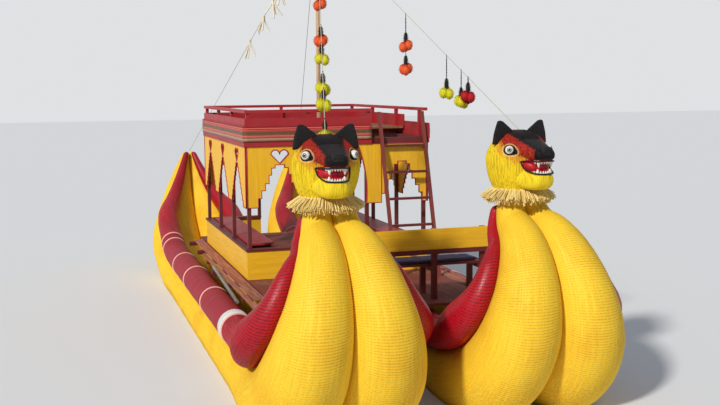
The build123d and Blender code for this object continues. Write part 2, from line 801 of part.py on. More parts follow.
SNOUT_SECTIONS = [(90, 545, 215, 95), (300, 525, 165, 82), (430, 508, 135, 66), (500, 498, 115, 52)]
JAW_SECTIONS = [(120, 262, 215, 62), (300, 260, 165, 56), (430, 262, 130, 50), (480, 264, 112, 42)]


# Corners of an ear seen from ahead: distance from the middle, height
EAR_CORNERS = [(70, 640), (335, 560), (252, 838), (78, 712)]
EAR_AHEAD = 15.0
EAR_THICKNESS = 60.0
EAR_ROUNDING = 22.0


def ear(side):
    """An upright three-cornered ear across the shoulder of the crown."""
    plane = Plane(origin=(EAR_AHEAD - EAR_THICKNESS / 2, 0, 0), x_dir=(0, 1, 0), z_dir=(1, 0, 0))
    corners = [(side * across, height) for across, height in EAR_CORNERS]
    board = extrude(plane * Polygon(*corners, align=None), amount=EAR_THICKNESS)
    return fillet(board.edges().filter_by(Axis.X), EAR_ROUNDING)


EYE_RADIUS = 48.0
EYE_AHEAD = 185.0
EYE_SPREAD = 235.0
EYE_HEIGHT = 530.0


def eye(side, grown=0.0):
    """A round eye, or the socket it is set in when it is grown."""
    return Pos(EYE_AHEAD, side * EYE_SPREAD, EYE_HEIGHT) * Sphere(EYE_RADIUS + grown)


def skull_seat():
    """The skull, slightly grown, to cut the pieces that are bound to it."""
    grow = 1 + HEAD_SEAT / HEAD_RADIUS
    return Pos(0, 0, HEAD_WIDEST) * scale(Pos(0, 0, -HEAD_WIDEST) * skull(), by=grow)


def collar_ring(wall):
    """The outside of the collar, or its inside when the wall is left out."""
    rings = [
        Plane(origin=(0, 0, height)) * Ellipse(half_length + wall, half_width + wall)
        for height, half_length, half_width in COLLAR_RINGS
    ]
    return loft(rings, ruled=True)


def collar():
    """The flared collar of cut reeds round the neck."""
    return collar_ring(COLLAR_THICKNESS) - collar_ring(0)


def build():
    """All pieces by name, each with its own solids."""
    pieces = {}
    for name, side in SIDES.items():
        for place, lobe in (("inner", -side), ("outer", side)):
            pieces[f"{name}_{place}_bundle"] = [bundle(side, lobe)]
            pieces[f"{name}_{place}_roll"] = [roll(side, lobe)]
        head = head_centre(name)
        face = skull() + face_loft(SNOUT_SECTIONS)
        sockets = [eye(-1, HEAD_SEAT), eye(1, HEAD_SEAT)]
        pieces[f"{name}_head"] = [head * (face - sockets)]
        pieces[f"{name}_collar"] = [Pos(*head.position) * collar()]
    pieces["deck_bearers"] = deck_bearers()
    pieces["deck_planks"] = deck_planks()
    pieces["side_planks"] = side_planks()
    pieces["boat_pole"] = [boat_pole()]
    pieces["starboard_skirt"] = [side_skirt(-1)]
    pieces["port_skirt"] = [side_skirt(1)]
    pieces["front_skirt"] = end_skirt(0, -1)
    pieces["rear_skirt"] = end_skirt(-CABIN_LENGTH, 1)
    pieces["skirt_caps"] = skirt_caps()
    pieces["cabin_posts"] = cabin_posts()
    pieces["starboard_panel"] = [side_panel(-1)]
    pieces["port_panel"] = [side_panel(1)]
    pieces["front_panel"] = [stepped_panel(0, 1, -1)]
    pieces["rear_panels"] = [stepped_panel(-CABIN_LENGTH, -1, -1), stepped_panel(-CABIN_LENGTH, -1, 1)]
    pieces["door_panel"] = [curved_door_panel()]
    pieces["ladder_panel"] = [ladder_panel()]
    pieces["top_plates"] = top_plates()
    pieces["joists"] = joists()
    pieces["upper_floor"] = [upper_floor()]
    for name, board in fascia_ranges(FASCIA_BOTTOM, FASCIA_TOP, FASCIA_THICKNESS, 0).items():
        pieces[f"{name}_fascia"] = [board]
    bands = fascia_ranges(TEXTILE_BOTTOM, TEXTILE_TOP, TEXTILE_THICKNESS, FASCIA_THICKNESS)
    pieces["textile_bands"] = list(bands.values())
    pieces["kickboards"] = kickboards()
    pieces["rail_posts"] = rail_posts()
    pieces["rail_caps"] = rail_caps()
    pieces["ladder_stiles"] = ladder_stiles()
    pieces["ladder_rungs"] = ladder_rungs()
    pieces["mast"] = [mast()]
    pieces["mast_step"] = [mast_step()]
    pieces["forestays"] = forestays()
    pieces["backstays"] = backstays()
    pieces["bench_frame"] = bench_frame()
    pieces["backrest"] = [backrest()]
    pieces["backrest_rail"] = [backrest_rail()]
    pieces["bench_seat"] = [bench_seat()]
    pieces["bench_cushion"] = [bench_cushion()]
    pieces["cabin_seats"] = cabin_seats()
    pieces["cabin_seat_supports"] = cabin_seat_supports()
    heads = [head_centre(name) for name in SIDES]
    pieces["jaws"] = [head * (face_loft(JAW_SECTIONS) - skull_seat()) for head in heads]
    pieces["ears"] = [head * (ear(side) - skull_seat()) for head in heads for side in (-1, 1)]
    pieces["eyes"] = [head * eye(side) for head in heads for side in (-1, 1)]
    return pieces


def main():
    """Move every piece to the boat's own origin and write it."""
    pieces = build()
    boxes = [solid.bounding_box() for name, solids in pieces.items() if "bundle" in name for solid in solids]
    aft, fore = min(box.min.X for box in boxes), max(box.max.X for box in boxes)
    to_origin = Pos(-(aft + fore) / 2, 0, -min(box.min.Z for box in boxes))
    os.makedirs("parts", exist_ok=True)
    for name, solids in pieces.items():
        moved = [to_origin * solid for solid in solids]
        shape = moved[0] if len(moved) == 1 else Compound(children=moved)
        export_step(shape, f"parts/{name}.step")
    print("moved to origin by", round(to_origin.position.X, 3), round(to_origin.position.Z, 3))
    print("deck height", round(DECK, 3), "roll top", round(ROLL_TOP, 3))


main()
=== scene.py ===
"""Looks of a double-hulled boat of bound reeds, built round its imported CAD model.

Each class dresses one part of the boat: the hulls, the rolls on them, the heads, the
cabin, the upper deck, the rigging and the bow bench. Lengths are in metres, in the
frame of the CAD model: X forward, Y to port, Z up.
"""

from __future__ import annotations

import logging
import math
from dataclasses import dataclass, field
from enum import Enum
from functools import cached_property
from typing import Any, Callable, Iterable, Sequence

import bmesh
import bpy
from mathutils import Matrix, Vector

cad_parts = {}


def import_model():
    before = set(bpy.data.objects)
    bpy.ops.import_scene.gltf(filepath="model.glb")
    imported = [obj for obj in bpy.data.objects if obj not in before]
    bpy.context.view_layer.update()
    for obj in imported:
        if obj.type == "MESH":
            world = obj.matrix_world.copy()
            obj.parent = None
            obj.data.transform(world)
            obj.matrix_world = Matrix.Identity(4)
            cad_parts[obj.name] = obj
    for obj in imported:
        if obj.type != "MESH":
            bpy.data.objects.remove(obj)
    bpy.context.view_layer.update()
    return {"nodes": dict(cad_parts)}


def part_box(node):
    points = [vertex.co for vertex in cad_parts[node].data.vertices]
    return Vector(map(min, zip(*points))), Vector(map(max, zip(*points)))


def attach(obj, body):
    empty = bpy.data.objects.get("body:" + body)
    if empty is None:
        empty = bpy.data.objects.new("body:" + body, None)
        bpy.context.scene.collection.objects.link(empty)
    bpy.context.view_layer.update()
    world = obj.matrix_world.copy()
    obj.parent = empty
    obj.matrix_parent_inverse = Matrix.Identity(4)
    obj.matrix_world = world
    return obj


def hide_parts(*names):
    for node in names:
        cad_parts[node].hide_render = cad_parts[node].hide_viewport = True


LOG = logging.getLogger("reed_boat")

BODY = "boat"
DECK = 1.211429
WATERLINE = 0.33
CABIN_FRONT = 1.178626
CABIN_LENGTH = 3.37

AHEAD = Vector((1.0, 0.0, 0.0))
TO_PORT = Vector((0.0, 1.0, 0.0))
UP = Vector((0.0, 0.0, 1.0))

Colour = tuple[float, float, float, float]
Piece = bpy.types.Object
Material = bpy.types.Material
Node = bpy.types.Node
Socket = bpy.types.NodeSocket
Tree = bpy.types.NodeTree


def paint(red: int, green: int, blue: int) -> Colour:
    """Turn a display colour into the linear colour that a shader takes.

    Args:
        red: Display red, 0 to 255.
        green: Display green, 0 to 255.
        blue: Display blue, 0 to 255.

    Returns:
        The linear colour with full alpha.
    """
    linear = []
    for value in (red, green, blue):
        share = value / 255
        linear.append(share / 12.92 if share <= 0.04045 else ((share + 0.055) / 1.055) ** 2.4)
    return (linear[0], linear[1], linear[2], 1.0)


def deeper(colour: Colour, share: float) -> Colour:
    """A darker shade of a colour, with the given share of its light."""
    return (colour[0] * share, colour[1] * share, colour[2] * share, 1.0)


class Side(Enum):
    """The two hulls, with the sign of their Y."""

    STARBOARD = -1
    PORT = 1

    @property
    def label(self) -> str:
        """The name that the CAD nodes use."""
        return self.name.lower()


class Grain(Enum):
    """The way that the grain of a board or post runs."""

    FORE_AND_AFT = (1.0, 16.0, 16.0)
    ACROSS = (16.0, 1.0, 16.0)
    UPRIGHT = (16.0, 16.0, 1.0)
    ANY = (5.0, 5.0, 5.0)


@dataclass
class Graph:
    """A node tree under construction, with short calls for its nodes."""

    tree: Tree

    def feed(self, socket: Socket, value: Any) -> None:
        """Link a socket into another, or set its plain value.

        Args:
            socket: The input to feed.
            value: An output socket, or a plain value.
        """
        if isinstance(value, Socket):
            self.tree.links.new(value, socket)
        else:
            socket.default_value = value

    def node(self, kind: str, feeds: dict[Any, Any] | None = None, **settings: Any) -> Node:
        """Add a node.

        Args:
            kind: The node's type.
            feeds: What goes into its inputs, by name or number.
            **settings: Its own properties.

        Returns:
            The new node.
        """
        made = self.tree.nodes.new(kind)
        for name, value in settings.items():
            setattr(made, name, value)
        for key, value in (feeds or {}).items():
            self.feed(made.inputs[key], value)
        return made

    def out(self, kind: str, feeds: dict[Any, Any] | None = None, **settings: Any) -> Socket:
        """Add a node and return its first output."""
        return self.node(kind, feeds, **settings).outputs[0]

    def end(self, leave: Node, **values: Any) -> Tree:
        """Feed a group's outputs.

        Args:
            leave: The group's output node.
            **values: What goes out, by name.

        Returns:
            The finished group.
        """
        for name, value in values.items():
            self.feed(leave.inputs[name], value)
        return self.tree

    def math(self, operation: str, *values: Any, clamp: bool = False) -> Socket:
        """Add a math node and return its result."""
        return self.out("ShaderNodeMath", dict(enumerate(values)), operation=operation, use_clamp=clamp)

    def plus(self, *values: Any, clamp: bool = False) -> Socket:
        """Add two numbers."""
        return self.math("ADD", *values, clamp=clamp)

    def minus(self, *values: Any, clamp: bool = False) -> Socket:
        """Take the second number from the first."""
        return self.math("SUBTRACT", *values, clamp=clamp)

    def times(self, *values: Any) -> Socket:
        """Multiply two numbers."""
        return self.math("MULTIPLY", *values)

    def times_plus(self, *values: Any, clamp: bool = False) -> Socket:
        """Multiply two numbers and add a third."""
        return self.math("MULTIPLY_ADD", *values, clamp=clamp)

    def vector(self, operation: str, *values: Any) -> Socket:
        """Add a vector math node and return its result."""
        made = self.node("ShaderNodeVectorMath", dict(enumerate(values)), operation=operation)
        return made.outputs["Value" if operation == "DISTANCE" else "Vector"]

    def scaled(self, vector: Any, factor: Any) -> Socket:
        """Multiply a vector by a number."""
        return self.out("ShaderNodeVectorMath", {0: vector, "Scale": factor}, operation="SCALE")

    def combine(self, x: Any = 0.0, y: Any = 0.0, z: Any = 0.0) -> Socket:
        """Make a vector of three numbers."""
        return self.out("ShaderNodeCombineXYZ", {0: x, 1: y, 2: z})

    def split(self, vector: Any) -> tuple[Socket, Socket, Socket]:
        """Take a vector apart into three numbers."""
        made = self.node("ShaderNodeSeparateXYZ", {0: vector})
        return made.outputs[0], made.outputs[1], made.outputs[2]

    def noise(self, vector: Any, scale: Any, detail: float = 2.0, roughness: float = 0.5) -> Socket:
        """Add a noise texture and return its value."""
        feeds = {"Vector": vector, "Scale": scale, "Detail": detail, "Roughness": roughness}
        return self.out("ShaderNodeTexNoise", feeds)

    def ramp(self, value: Any, low: Any, high: Any, to_low: float = 0.0, to_high: float = 1.0) -> Socket:
        """Map a value smoothly from one range to another, held at both ends."""
        feeds = {"Value": value, "From Min": low, "From Max": high, "To Min": to_low, "To Max": to_high}
        return self.out("ShaderNodeMapRange", feeds, interpolation_type="SMOOTHSTEP")

    def mix(self, share: Any, first: Any, second: Any, blend: str = "MIX") -> Socket:
        """Mix two colours."""
        feeds = {0: share, 6: first, 7: second}
        return self.node("ShaderNodeMix", feeds, data_type="RGBA", blend_type=blend).outputs[2]

    def bands(self, value: Any, table: Sequence[tuple[float, Colour]], blend: str) -> Socket:
        """Colour a value by a table.

        Args:
            value: The value, 0 to 1.
            table: Where each colour starts, and the colour.
            blend: CONSTANT for sharp bands, LINEAR for soft ones.

        Returns:
            The colour.
        """
        made = self.node("ShaderNodeValToRGB", {0: value})
        made.color_ramp.interpolation = blend
        stops = made.color_ramp.elements
        for number, (place, colour) in enumerate(table):
            stop = stops[number] if number < 2 else stops.new(place)
            stop.position = place
            stop.color = colour
        return made.outputs[0]

    def random(self, low: float, high: float, seed: Any) -> Socket:
        """A random number for each point, between two values."""
        feeds = {2: low, 3: high, "ID": self.out("GeometryNodeInputIndex"), "Seed": seed}
        return self.node("FunctionNodeRandomValue", feeds, data_type="FLOAT").outputs[1]

    def store(self, geometry: Any, name: str, value: Any, domain: str, kind: str = "FLOAT") -> Socket:
        """Store a value on a geometry under a name."""
        feeds = {"Geometry": geometry, "Name": name, "Value": value}
        return self.out("GeometryNodeStoreNamedAttribute", feeds, data_type=kind, domain=domain)

    def extruded(self, line: Any, corners: int, radius: Any, caps: bool) -> Socket:
        """Run a thin round bar along a line of edges.

        Args:
            line: The edges.
            corners: How many corners the bar has.
            radius: Its radius.
            caps: Whether its ends are closed.

        Returns:
            The bar.
        """
        curve = self.out("GeometryNodeMeshToCurve", {0: line})
        profile = self.out("GeometryNodeCurvePrimitiveCircle", {"Resolution": corners, "Radius": radius})
        return self.out("GeometryNodeCurveToMesh", {0: curve, 1: profile, "Fill Caps": caps})

    def close(self, leave: Node, geometry: Any, finish: Any, soft: bool = False) -> Tree:
        """Realize the instances, set the material and end a geometry node tree.

        Args:
            leave: The tree's output node.
            geometry: What it has made.
            finish: The material.
            soft: Whether the faces are shaded smooth.

        Returns:
            The finished tree.
        """
        real = self.out("GeometryNodeRealizeInstances", {0: geometry})
        if soft:
            real = self.out("GeometryNodeSetShadeSmooth", {0: real})
        return self.end(leave, Geometry=self.out("GeometryNodeSetMaterial", {0: real, "Material": finish}))


FLOAT = "NodeSocketFloat"
WHOLE = "NodeSocketInt"
VECTOR = "NodeSocketVector"
GEOMETRY = "NodeSocketGeometry"
FINISH = "NodeSocketMaterial"

Inputs = Sequence[tuple[str, str, Any]]
Group = tuple[Graph, dict[str, Socket], Node]


def new_group(name: str, kind: str, inputs: Inputs, outputs: Sequence[tuple[str, str]]) -> Group:
    """Start a node group with named sockets.

    Args:
        name: The group's name.
        kind: ShaderNodeTree or GeometryNodeTree.
        inputs: Name, socket type and default of each input.
        outputs: Name and socket type of each output.

    Returns:
        The graph, its input sockets by name, and its output node.
    """
    tree = bpy.data.node_groups.new(name, kind)
    for label, socket_type, default in inputs:
        socket = tree.interface.new_socket(name=label, in_out="INPUT", socket_type=socket_type)
        if default is not None:
            socket.default_value = default
    for label, socket_type in outputs:
        tree.interface.new_socket(name=label, in_out="OUTPUT", socket_type=socket_type)
    graph = Graph(tree)
    entry = graph.node("NodeGroupInput")
    leave = graph.node("NodeGroupOutput")
    return graph, {label: entry.outputs[label] for label, _, _ in inputs}, leave


def new_maker(name: str, source: str, inputs: Inputs) -> Group:
    """Start a geometry node tree that turns the named source into a piece with one finish."""
    whole = [(source, GEOMETRY, None), *inputs, ("Finish", FINISH, None)]
    return new_group(name, "GeometryNodeTree", whole, [("Geometry", GEOMETRY)])


class SharedEffects:
    """Shader node groups that several finishes use, each built once."""

    @cached_property
    def grain(self) -> Tree:
        """Streaks of wood grain along one axis.

        Returns:
            The node group.
        """
        graph, given, leave = new_group(
            "wood_grain", "ShaderNodeTree",
            [("Vector", VECTOR, None), ("Stretch", VECTOR, (1.0, 16.0, 16.0)), ("Fineness", FLOAT, 1.0)],
            [("Streak", FLOAT), ("Height", FLOAT)],
        )
        stretched = graph.vector("MULTIPLY", given["Vector"], given["Stretch"])
        place = graph.scaled(stretched, given["Fineness"])
        broad = graph.noise(place, 0.9, 3.0, 0.6)
        fine = graph.noise(place, 5.0, 2.0, 0.7)
        streak = graph.times_plus(fine, 0.45, graph.times(broad, 0.75), clamp=True)
        return graph.end(leave, Streak=graph.ramp(streak, 0.35, 0.8), Height=fine)

    @cached_property
    def scuffs(self) -> Tree:
        """Patches where sun, hands and water have worn a surface.

        Returns:
            The node group.
        """
        graph, given, leave = new_group(
            "scuffs", "ShaderNodeTree",
            [("Vector", VECTOR, None), ("Size", FLOAT, 3.0), ("Amount", FLOAT, 0.3)],
            [("Mask", FLOAT), ("Fade", FLOAT)],
        )
        fine = graph.noise(given["Vector"], graph.times(given["Size"], 6.0), 6.0, 0.65)
        broad = graph.noise(given["Vector"], given["Size"])
        both = graph.times_plus(fine, 0.6, graph.times(broad, 0.4))
        edge = graph.minus(0.78, graph.times(given["Amount"], 0.35))
        return graph.end(leave, Mask=graph.ramp(both, edge, graph.plus(edge, 0.06)), Fade=broad)

    @cached_property
    def weave(self) -> Tree:
        """Threads over and under, on flat cloth coordinates.

        Returns:
            The node group.
        """
        graph, given, leave = new_group(
            "weave", "ShaderNodeTree",
            [("Vector", VECTOR, None), ("Threads", FLOAT, 400.0)],
            [("Shade", FLOAT), ("Height", FLOAT)],
        )
        across, up, _ = graph.split(given["Vector"])
        turn = graph.times(given["Threads"], math.pi)
        warp = graph.math("SINE", graph.times(across, turn))
        weft = graph.math("SINE", graph.times(up, turn))
        height = graph.times_plus(graph.times(warp, weft), 0.5, 0.5)
        uneven = graph.noise(given["Vector"], 90.0)
        return graph.end(leave, Height=height, Shade=graph.times(height, uneven))

    @cached_property
    def reed(self) -> Tree:
        """Reeds that run along a bundle: their lines, and the shade in the grooves of the binding.

        Returns:
            The node group.
        """
        graph, given, leave = new_group(
            "reed_lines", "ShaderNodeTree",
            [("Along", FLOAT, 0.0), ("Around", FLOAT, 0.0), ("Reeds", FLOAT, 150.0), ("Groove", FLOAT, 0.0)],
            [("Line", FLOAT), ("Height", FLOAT), ("Gap", FLOAT)],
        )
        across = graph.times(given["Around"], given["Reeds"])
        line = graph.noise(graph.combine(graph.times(given["Along"], 2.4), across), 1.0, 3.0, 0.6)
        fleck = graph.combine(graph.times(given["Along"], 45.0), graph.times(across, 0.7))
        specks = graph.noise(fleck, 1.0, 2.0, 0.6)
        gap = graph.times(graph.ramp(given["Groove"], 0.35, 1.0), graph.ramp(specks, 0.38, 0.62))
        height = graph.minus(graph.times(line, 0.6), graph.times(gap, 0.4))
        return graph.end(leave, Line=graph.ramp(line, 0.3, 0.7), Gap=gap, Height=height)


EFFECTS = SharedEffects()


@dataclass
class Surface(Graph):
    """The node tree of one material, with its Principled shader."""

    material: Material
    shader: Node

    def effect(self, tree: Tree, **given: Any) -> Node:
        """Place a shared effect, with its own values by name."""
        return self.node("ShaderNodeGroup", given, node_tree=tree)

    def attribute(self, name: str, output: str = "Fac") -> Socket:
        """Read a value that is stored at each vertex."""
        return self.node("ShaderNodeAttribute", attribute_name=name).outputs[output]

    def flat_map(self) -> Socket:
        """The place on the piece's own flat map."""
        return self.out("ShaderNodeUVMap", uv_map="UVMap")

    def place(self) -> Socket:
        """The object coordinates."""
        return self.node("ShaderNodeTexCoord").outputs["Object"]

    def finish(self, colour: Any, rough: Any, height: Any, depth: float, strength: float) -> Material:
        """Feed the shader and return the material.

        Args:
            colour: The base colour.
            rough: The roughness, or None where it is plain.
            height: The height that the bump is made from.
            depth: The height of the bump in metres.
            strength: The strength of the bump.

        Returns:
            The finished material.
        """
        self.feed(self.shader.inputs["Base Color"], colour)
        if rough is not None:
            self.feed(self.shader.inputs["Roughness"], rough)
        bump = self.out("ShaderNodeBump", {"Height": height, "Distance": depth, "Strength": strength})
        self.feed(self.shader.inputs["Normal"], bump)
        return self.material


def start_material(name: str, roughness: float, specular: float = 0.3, **plain: float) -> Surface:
    """Start a material that holds one Principled shader.

    Args:
        name: The material's name.
        roughness: Its plain roughness.
        specular: Its plain specular level.
        **plain: Other plain values, by the shader's names with underscores.

    Returns:
        Its node tree under construction.
    """
    material = bpy.data.materials.new(name)
    material.use_nodes = True
    shader = material.node_tree.nodes["Principled BSDF"]
    shader.inputs["Roughness"].default_value = roughness
    shader.inputs["Specular IOR Level"].default_value = specular
    for label, value in plain.items():
        shader.inputs[label.replace("_", " ")].default_value = value
    return Surface(material.node_tree, material, shader)


@dataclass(frozen=True)
class PaintedWood:
    """Brushed oil paint on boards or timber, with the grain showing through."""

    name: str
    colour: Colour
    worn: Colour
    grain: Grain
    wear: float
    roughness: float
    cut_edge: Colour | None = None
    cut_axis: int = 1
    faded: Colour = (0.85, 0.78, 0.62, 1.0)

    def build(self) -> Material:
        """Make the material: paint, brush streaks, scuffs and painted cut edges.

        Returns:
            The finished material.
        """
        graph = start_material(self.name, self.roughness)
        place = graph.place()
        grain = graph.effect(EFFECTS.grain, Vector=place, Stretch=self.grain.value, Fineness=2.2)
        scuff = graph.effect(EFFECTS.scuffs, Vector=place, Size=2.5, Amount=self.wear)
        streak, bare = grain.outputs["Streak"], scuff.outputs["Mask"]
        base = graph.mix(graph.times(streak, 0.5), self.colour, deeper(self.colour, 0.62))
        if self.cut_edge is not None:
            normal = graph.split(graph.node("ShaderNodeNewGeometry").outputs["Normal"])[self.cut_axis]
            edge = graph.math("LESS_THAN", graph.math("ABSOLUTE", normal), 0.5)
            base = graph.mix(edge, base, self.cut_edge)
        base = graph.mix(graph.times(scuff.outputs["Fade"], 0.05), base, self.faded)
        base = graph.mix(bare, base, self.worn)
        rough = graph.times_plus(streak, 0.1, graph.times_plus(bare, 0.3, self.roughness))
        return graph.finish(base, rough, grain.outputs["Height"], 0.0015, 0.5)


@dataclass(frozen=True)
class BareWood:
    """Unpainted timber, greyed by sun and water."""

    name: str
    light: Colour
    dark: Colour
    grain: Grain
    roughness: float = 0.75
    grey: Colour = (0.36, 0.34, 0.31, 1.0)

    def build(self) -> Material:
        """Make the material: grain, grey patches and a rough surface.

        Returns:
            The finished material.
        """
        graph = start_material(self.name, self.roughness)
        place = graph.place()
        grain = graph.effect(EFFECTS.grain, Vector=place, Stretch=self.grain.value, Fineness=3.0)
        scuff = graph.effect(EFFECTS.scuffs, Vector=place, Amount=0.5)
        base = graph.mix(grain.outputs["Streak"], self.light, self.dark)
        base = graph.mix(graph.times(scuff.outputs["Mask"], 0.4), base, self.grey)
        return graph.finish(base, None, grain.outputs["Height"], 0.002, 0.7)


@dataclass(frozen=True)
class BoundReed:
    """Reeds bound tight with cord and painted, with the binding's rings showing and painted shade in their
    grooves.
    """

    name: str
    colour: Colour
    light: Colour
    # The gap colour serves the painted shade in the grooves and gaps of the binding, and the damp near the
    # waterline.
    gap: Colour
    roughness: float
    line_share: float
    reeds: float = 150.0
    gap_shade_top: float = 1.0
    groove_shade_share: float = 0.2
    damp_top: float = WATERLINE + 0.2
    damp_foot: float = WATERLINE + 0.05

    def build(self) -> Material:
        """Make the material from the piece's own map: along and around the bundle.

        Returns:
            The finished material.
        """
        graph = start_material(self.name, self.roughness)
        along, around, _ = graph.split(graph.flat_map())
        groove = graph.attribute("groove")
        reed = graph.effect(EFFECTS.reed, Along=along, Around=around, Reeds=self.reeds, Groove=groove)
        place = graph.place()
        height = graph.split(place)[2]
        # Painted shade in the gaps of the binding, growing stronger from the given height down to the
        # waterline.
        low = graph.ramp(height, self.gap_shade_top, WATERLINE, 0.3, 1.0)
        patches = graph.noise(place, 1.6, 4.0, 0.6)
        base = graph.mix(graph.times(reed.outputs["Line"], self.line_share), self.light, self.colour)
        deep = graph.times(graph.ramp(patches, 0.45, 0.75), 0.35)
        base = graph.mix(deep, base, self.colour, "MULTIPLY")
        # Painted shade in the grooves of the binding, in patches.
        groove_shade = graph.times(graph.ramp(groove, 0.25, 1.0), graph.ramp(patches, 0.30, 0.65))
        base = graph.mix(graph.times(groove_shade, self.groove_shade_share), base, self.gap)
        base = graph.mix(graph.times(reed.outputs["Gap"], low), base, self.gap)
        damp = graph.ramp(graph.times_plus(patches, 0.18, height), self.damp_top, self.damp_foot)
        base = graph.mix(graph.times(damp, 0.55), base, self.gap)
        rough = graph.times_plus(reed.outputs["Line"], 0.22, self.roughness)
        return graph.finish(base, rough, reed.outputs["Height"], 0.004, 0.6)


@dataclass(frozen=True)
class PlainCloth:
    """Cloth of one colour with a visible weave."""

    name: str
    colour: Colour
    threads: float
    roughness: float
    sheen: float = 0.25

    def build(self) -> Material:
        """Make the material from the piece's own map.

        Returns:
            The finished material.
        """
        graph = start_material(self.name, self.roughness, Sheen_Weight=self.sheen)
        weave = graph.effect(EFFECTS.weave, Vector=graph.flat_map(), Threads=self.threads)
        patches = graph.noise(graph.place(), 4.0, 4.0, 0.6)
        deep = deeper(self.colour, 0.55)
        base = graph.mix(graph.times(weave.outputs["Shade"], 0.4), self.colour, deep)
        base = graph.mix(graph.ramp(patches, 0.4, 0.8, 0.0, 0.4), base, deep)
        height = graph.times_plus(patches, 3.0, weave.outputs["Height"])
        return graph.finish(base, None, height, 0.002, 0.5)


@dataclass(frozen=True)
class StripedCloth:
    """Woven cloth with stripes along it.

    A stripe is where it starts, as a share of the cloth's height, and its colour. A
    figured row is its foot, its top and the colour of the small stepped figure in it.
    """

    name: str
    stripes: tuple[tuple[float, Colour], ...]
    figured: tuple[tuple[float, float, Colour], ...]
    repeat: float = 0.06
    step: float = 0.125
    shadow: Colour = (0.10, 0.03, 0.03, 1.0)

    def build(self) -> Material:
        """Make the material: the map's first number runs along the cloth, its second goes up it.

        Returns:
            The finished material.
        """
        graph = start_material(self.name, 0.85, Sheen_Weight=0.2)
        flat = graph.flat_map()
        along, up, _ = graph.split(flat)
        base = graph.bands(up, self.stripes, "CONSTANT")
        zigzag = graph.math("PINGPONG", graph.math("DIVIDE", along, self.repeat), 0.5)
        for low, high, colour in self.figured:
            share = graph.math("DIVIDE", graph.minus(up, low), high - low)
            above, below = graph.math("GREATER_THAN", share, 0.0), graph.math("LESS_THAN", share, 1.0)
            centred = graph.math("ABSOLUTE", graph.minus(share, 0.5))
            stepped = graph.math("SNAP", graph.plus(zigzag, centred), self.step)
            figure = graph.math("LESS_THAN", graph.math("MODULO", stepped, 3 * self.step), 0.13)
            base = graph.mix(graph.times(graph.times(above, below), figure), base, colour)
        weave = graph.effect(EFFECTS.weave, Vector=flat, Threads=500.0)
        base = graph.mix(graph.times(weave.outputs["Shade"], 0.35), base, self.shadow)
        return graph.finish(base, None, weave.outputs["Height"], 0.001, 0.5)


@dataclass(frozen=True)
class Strands:
    """Loose straw, yarn or cord, with a shade that differs from strand to strand."""

    name: str
    light: Colour
    dark: Colour

    def build(self) -> Material:
        """Make the material from the strand's own shade and a fine streak.

        Returns:
            The finished material.
        """
        graph = start_material(self.name, 0.8)
        streak = graph.noise(graph.scaled(graph.place(), 60.0), 1.0)
        shade = graph.times(graph.attribute("shade"), 0.6)
        share = graph.times_plus(streak, 0.5, shade, clamp=True)
        return graph.finish(graph.mix(share, self.light, self.dark), None, streak, 0.001, 0.5)


Place = tuple[float, float, float]
Edge = tuple[float, float]


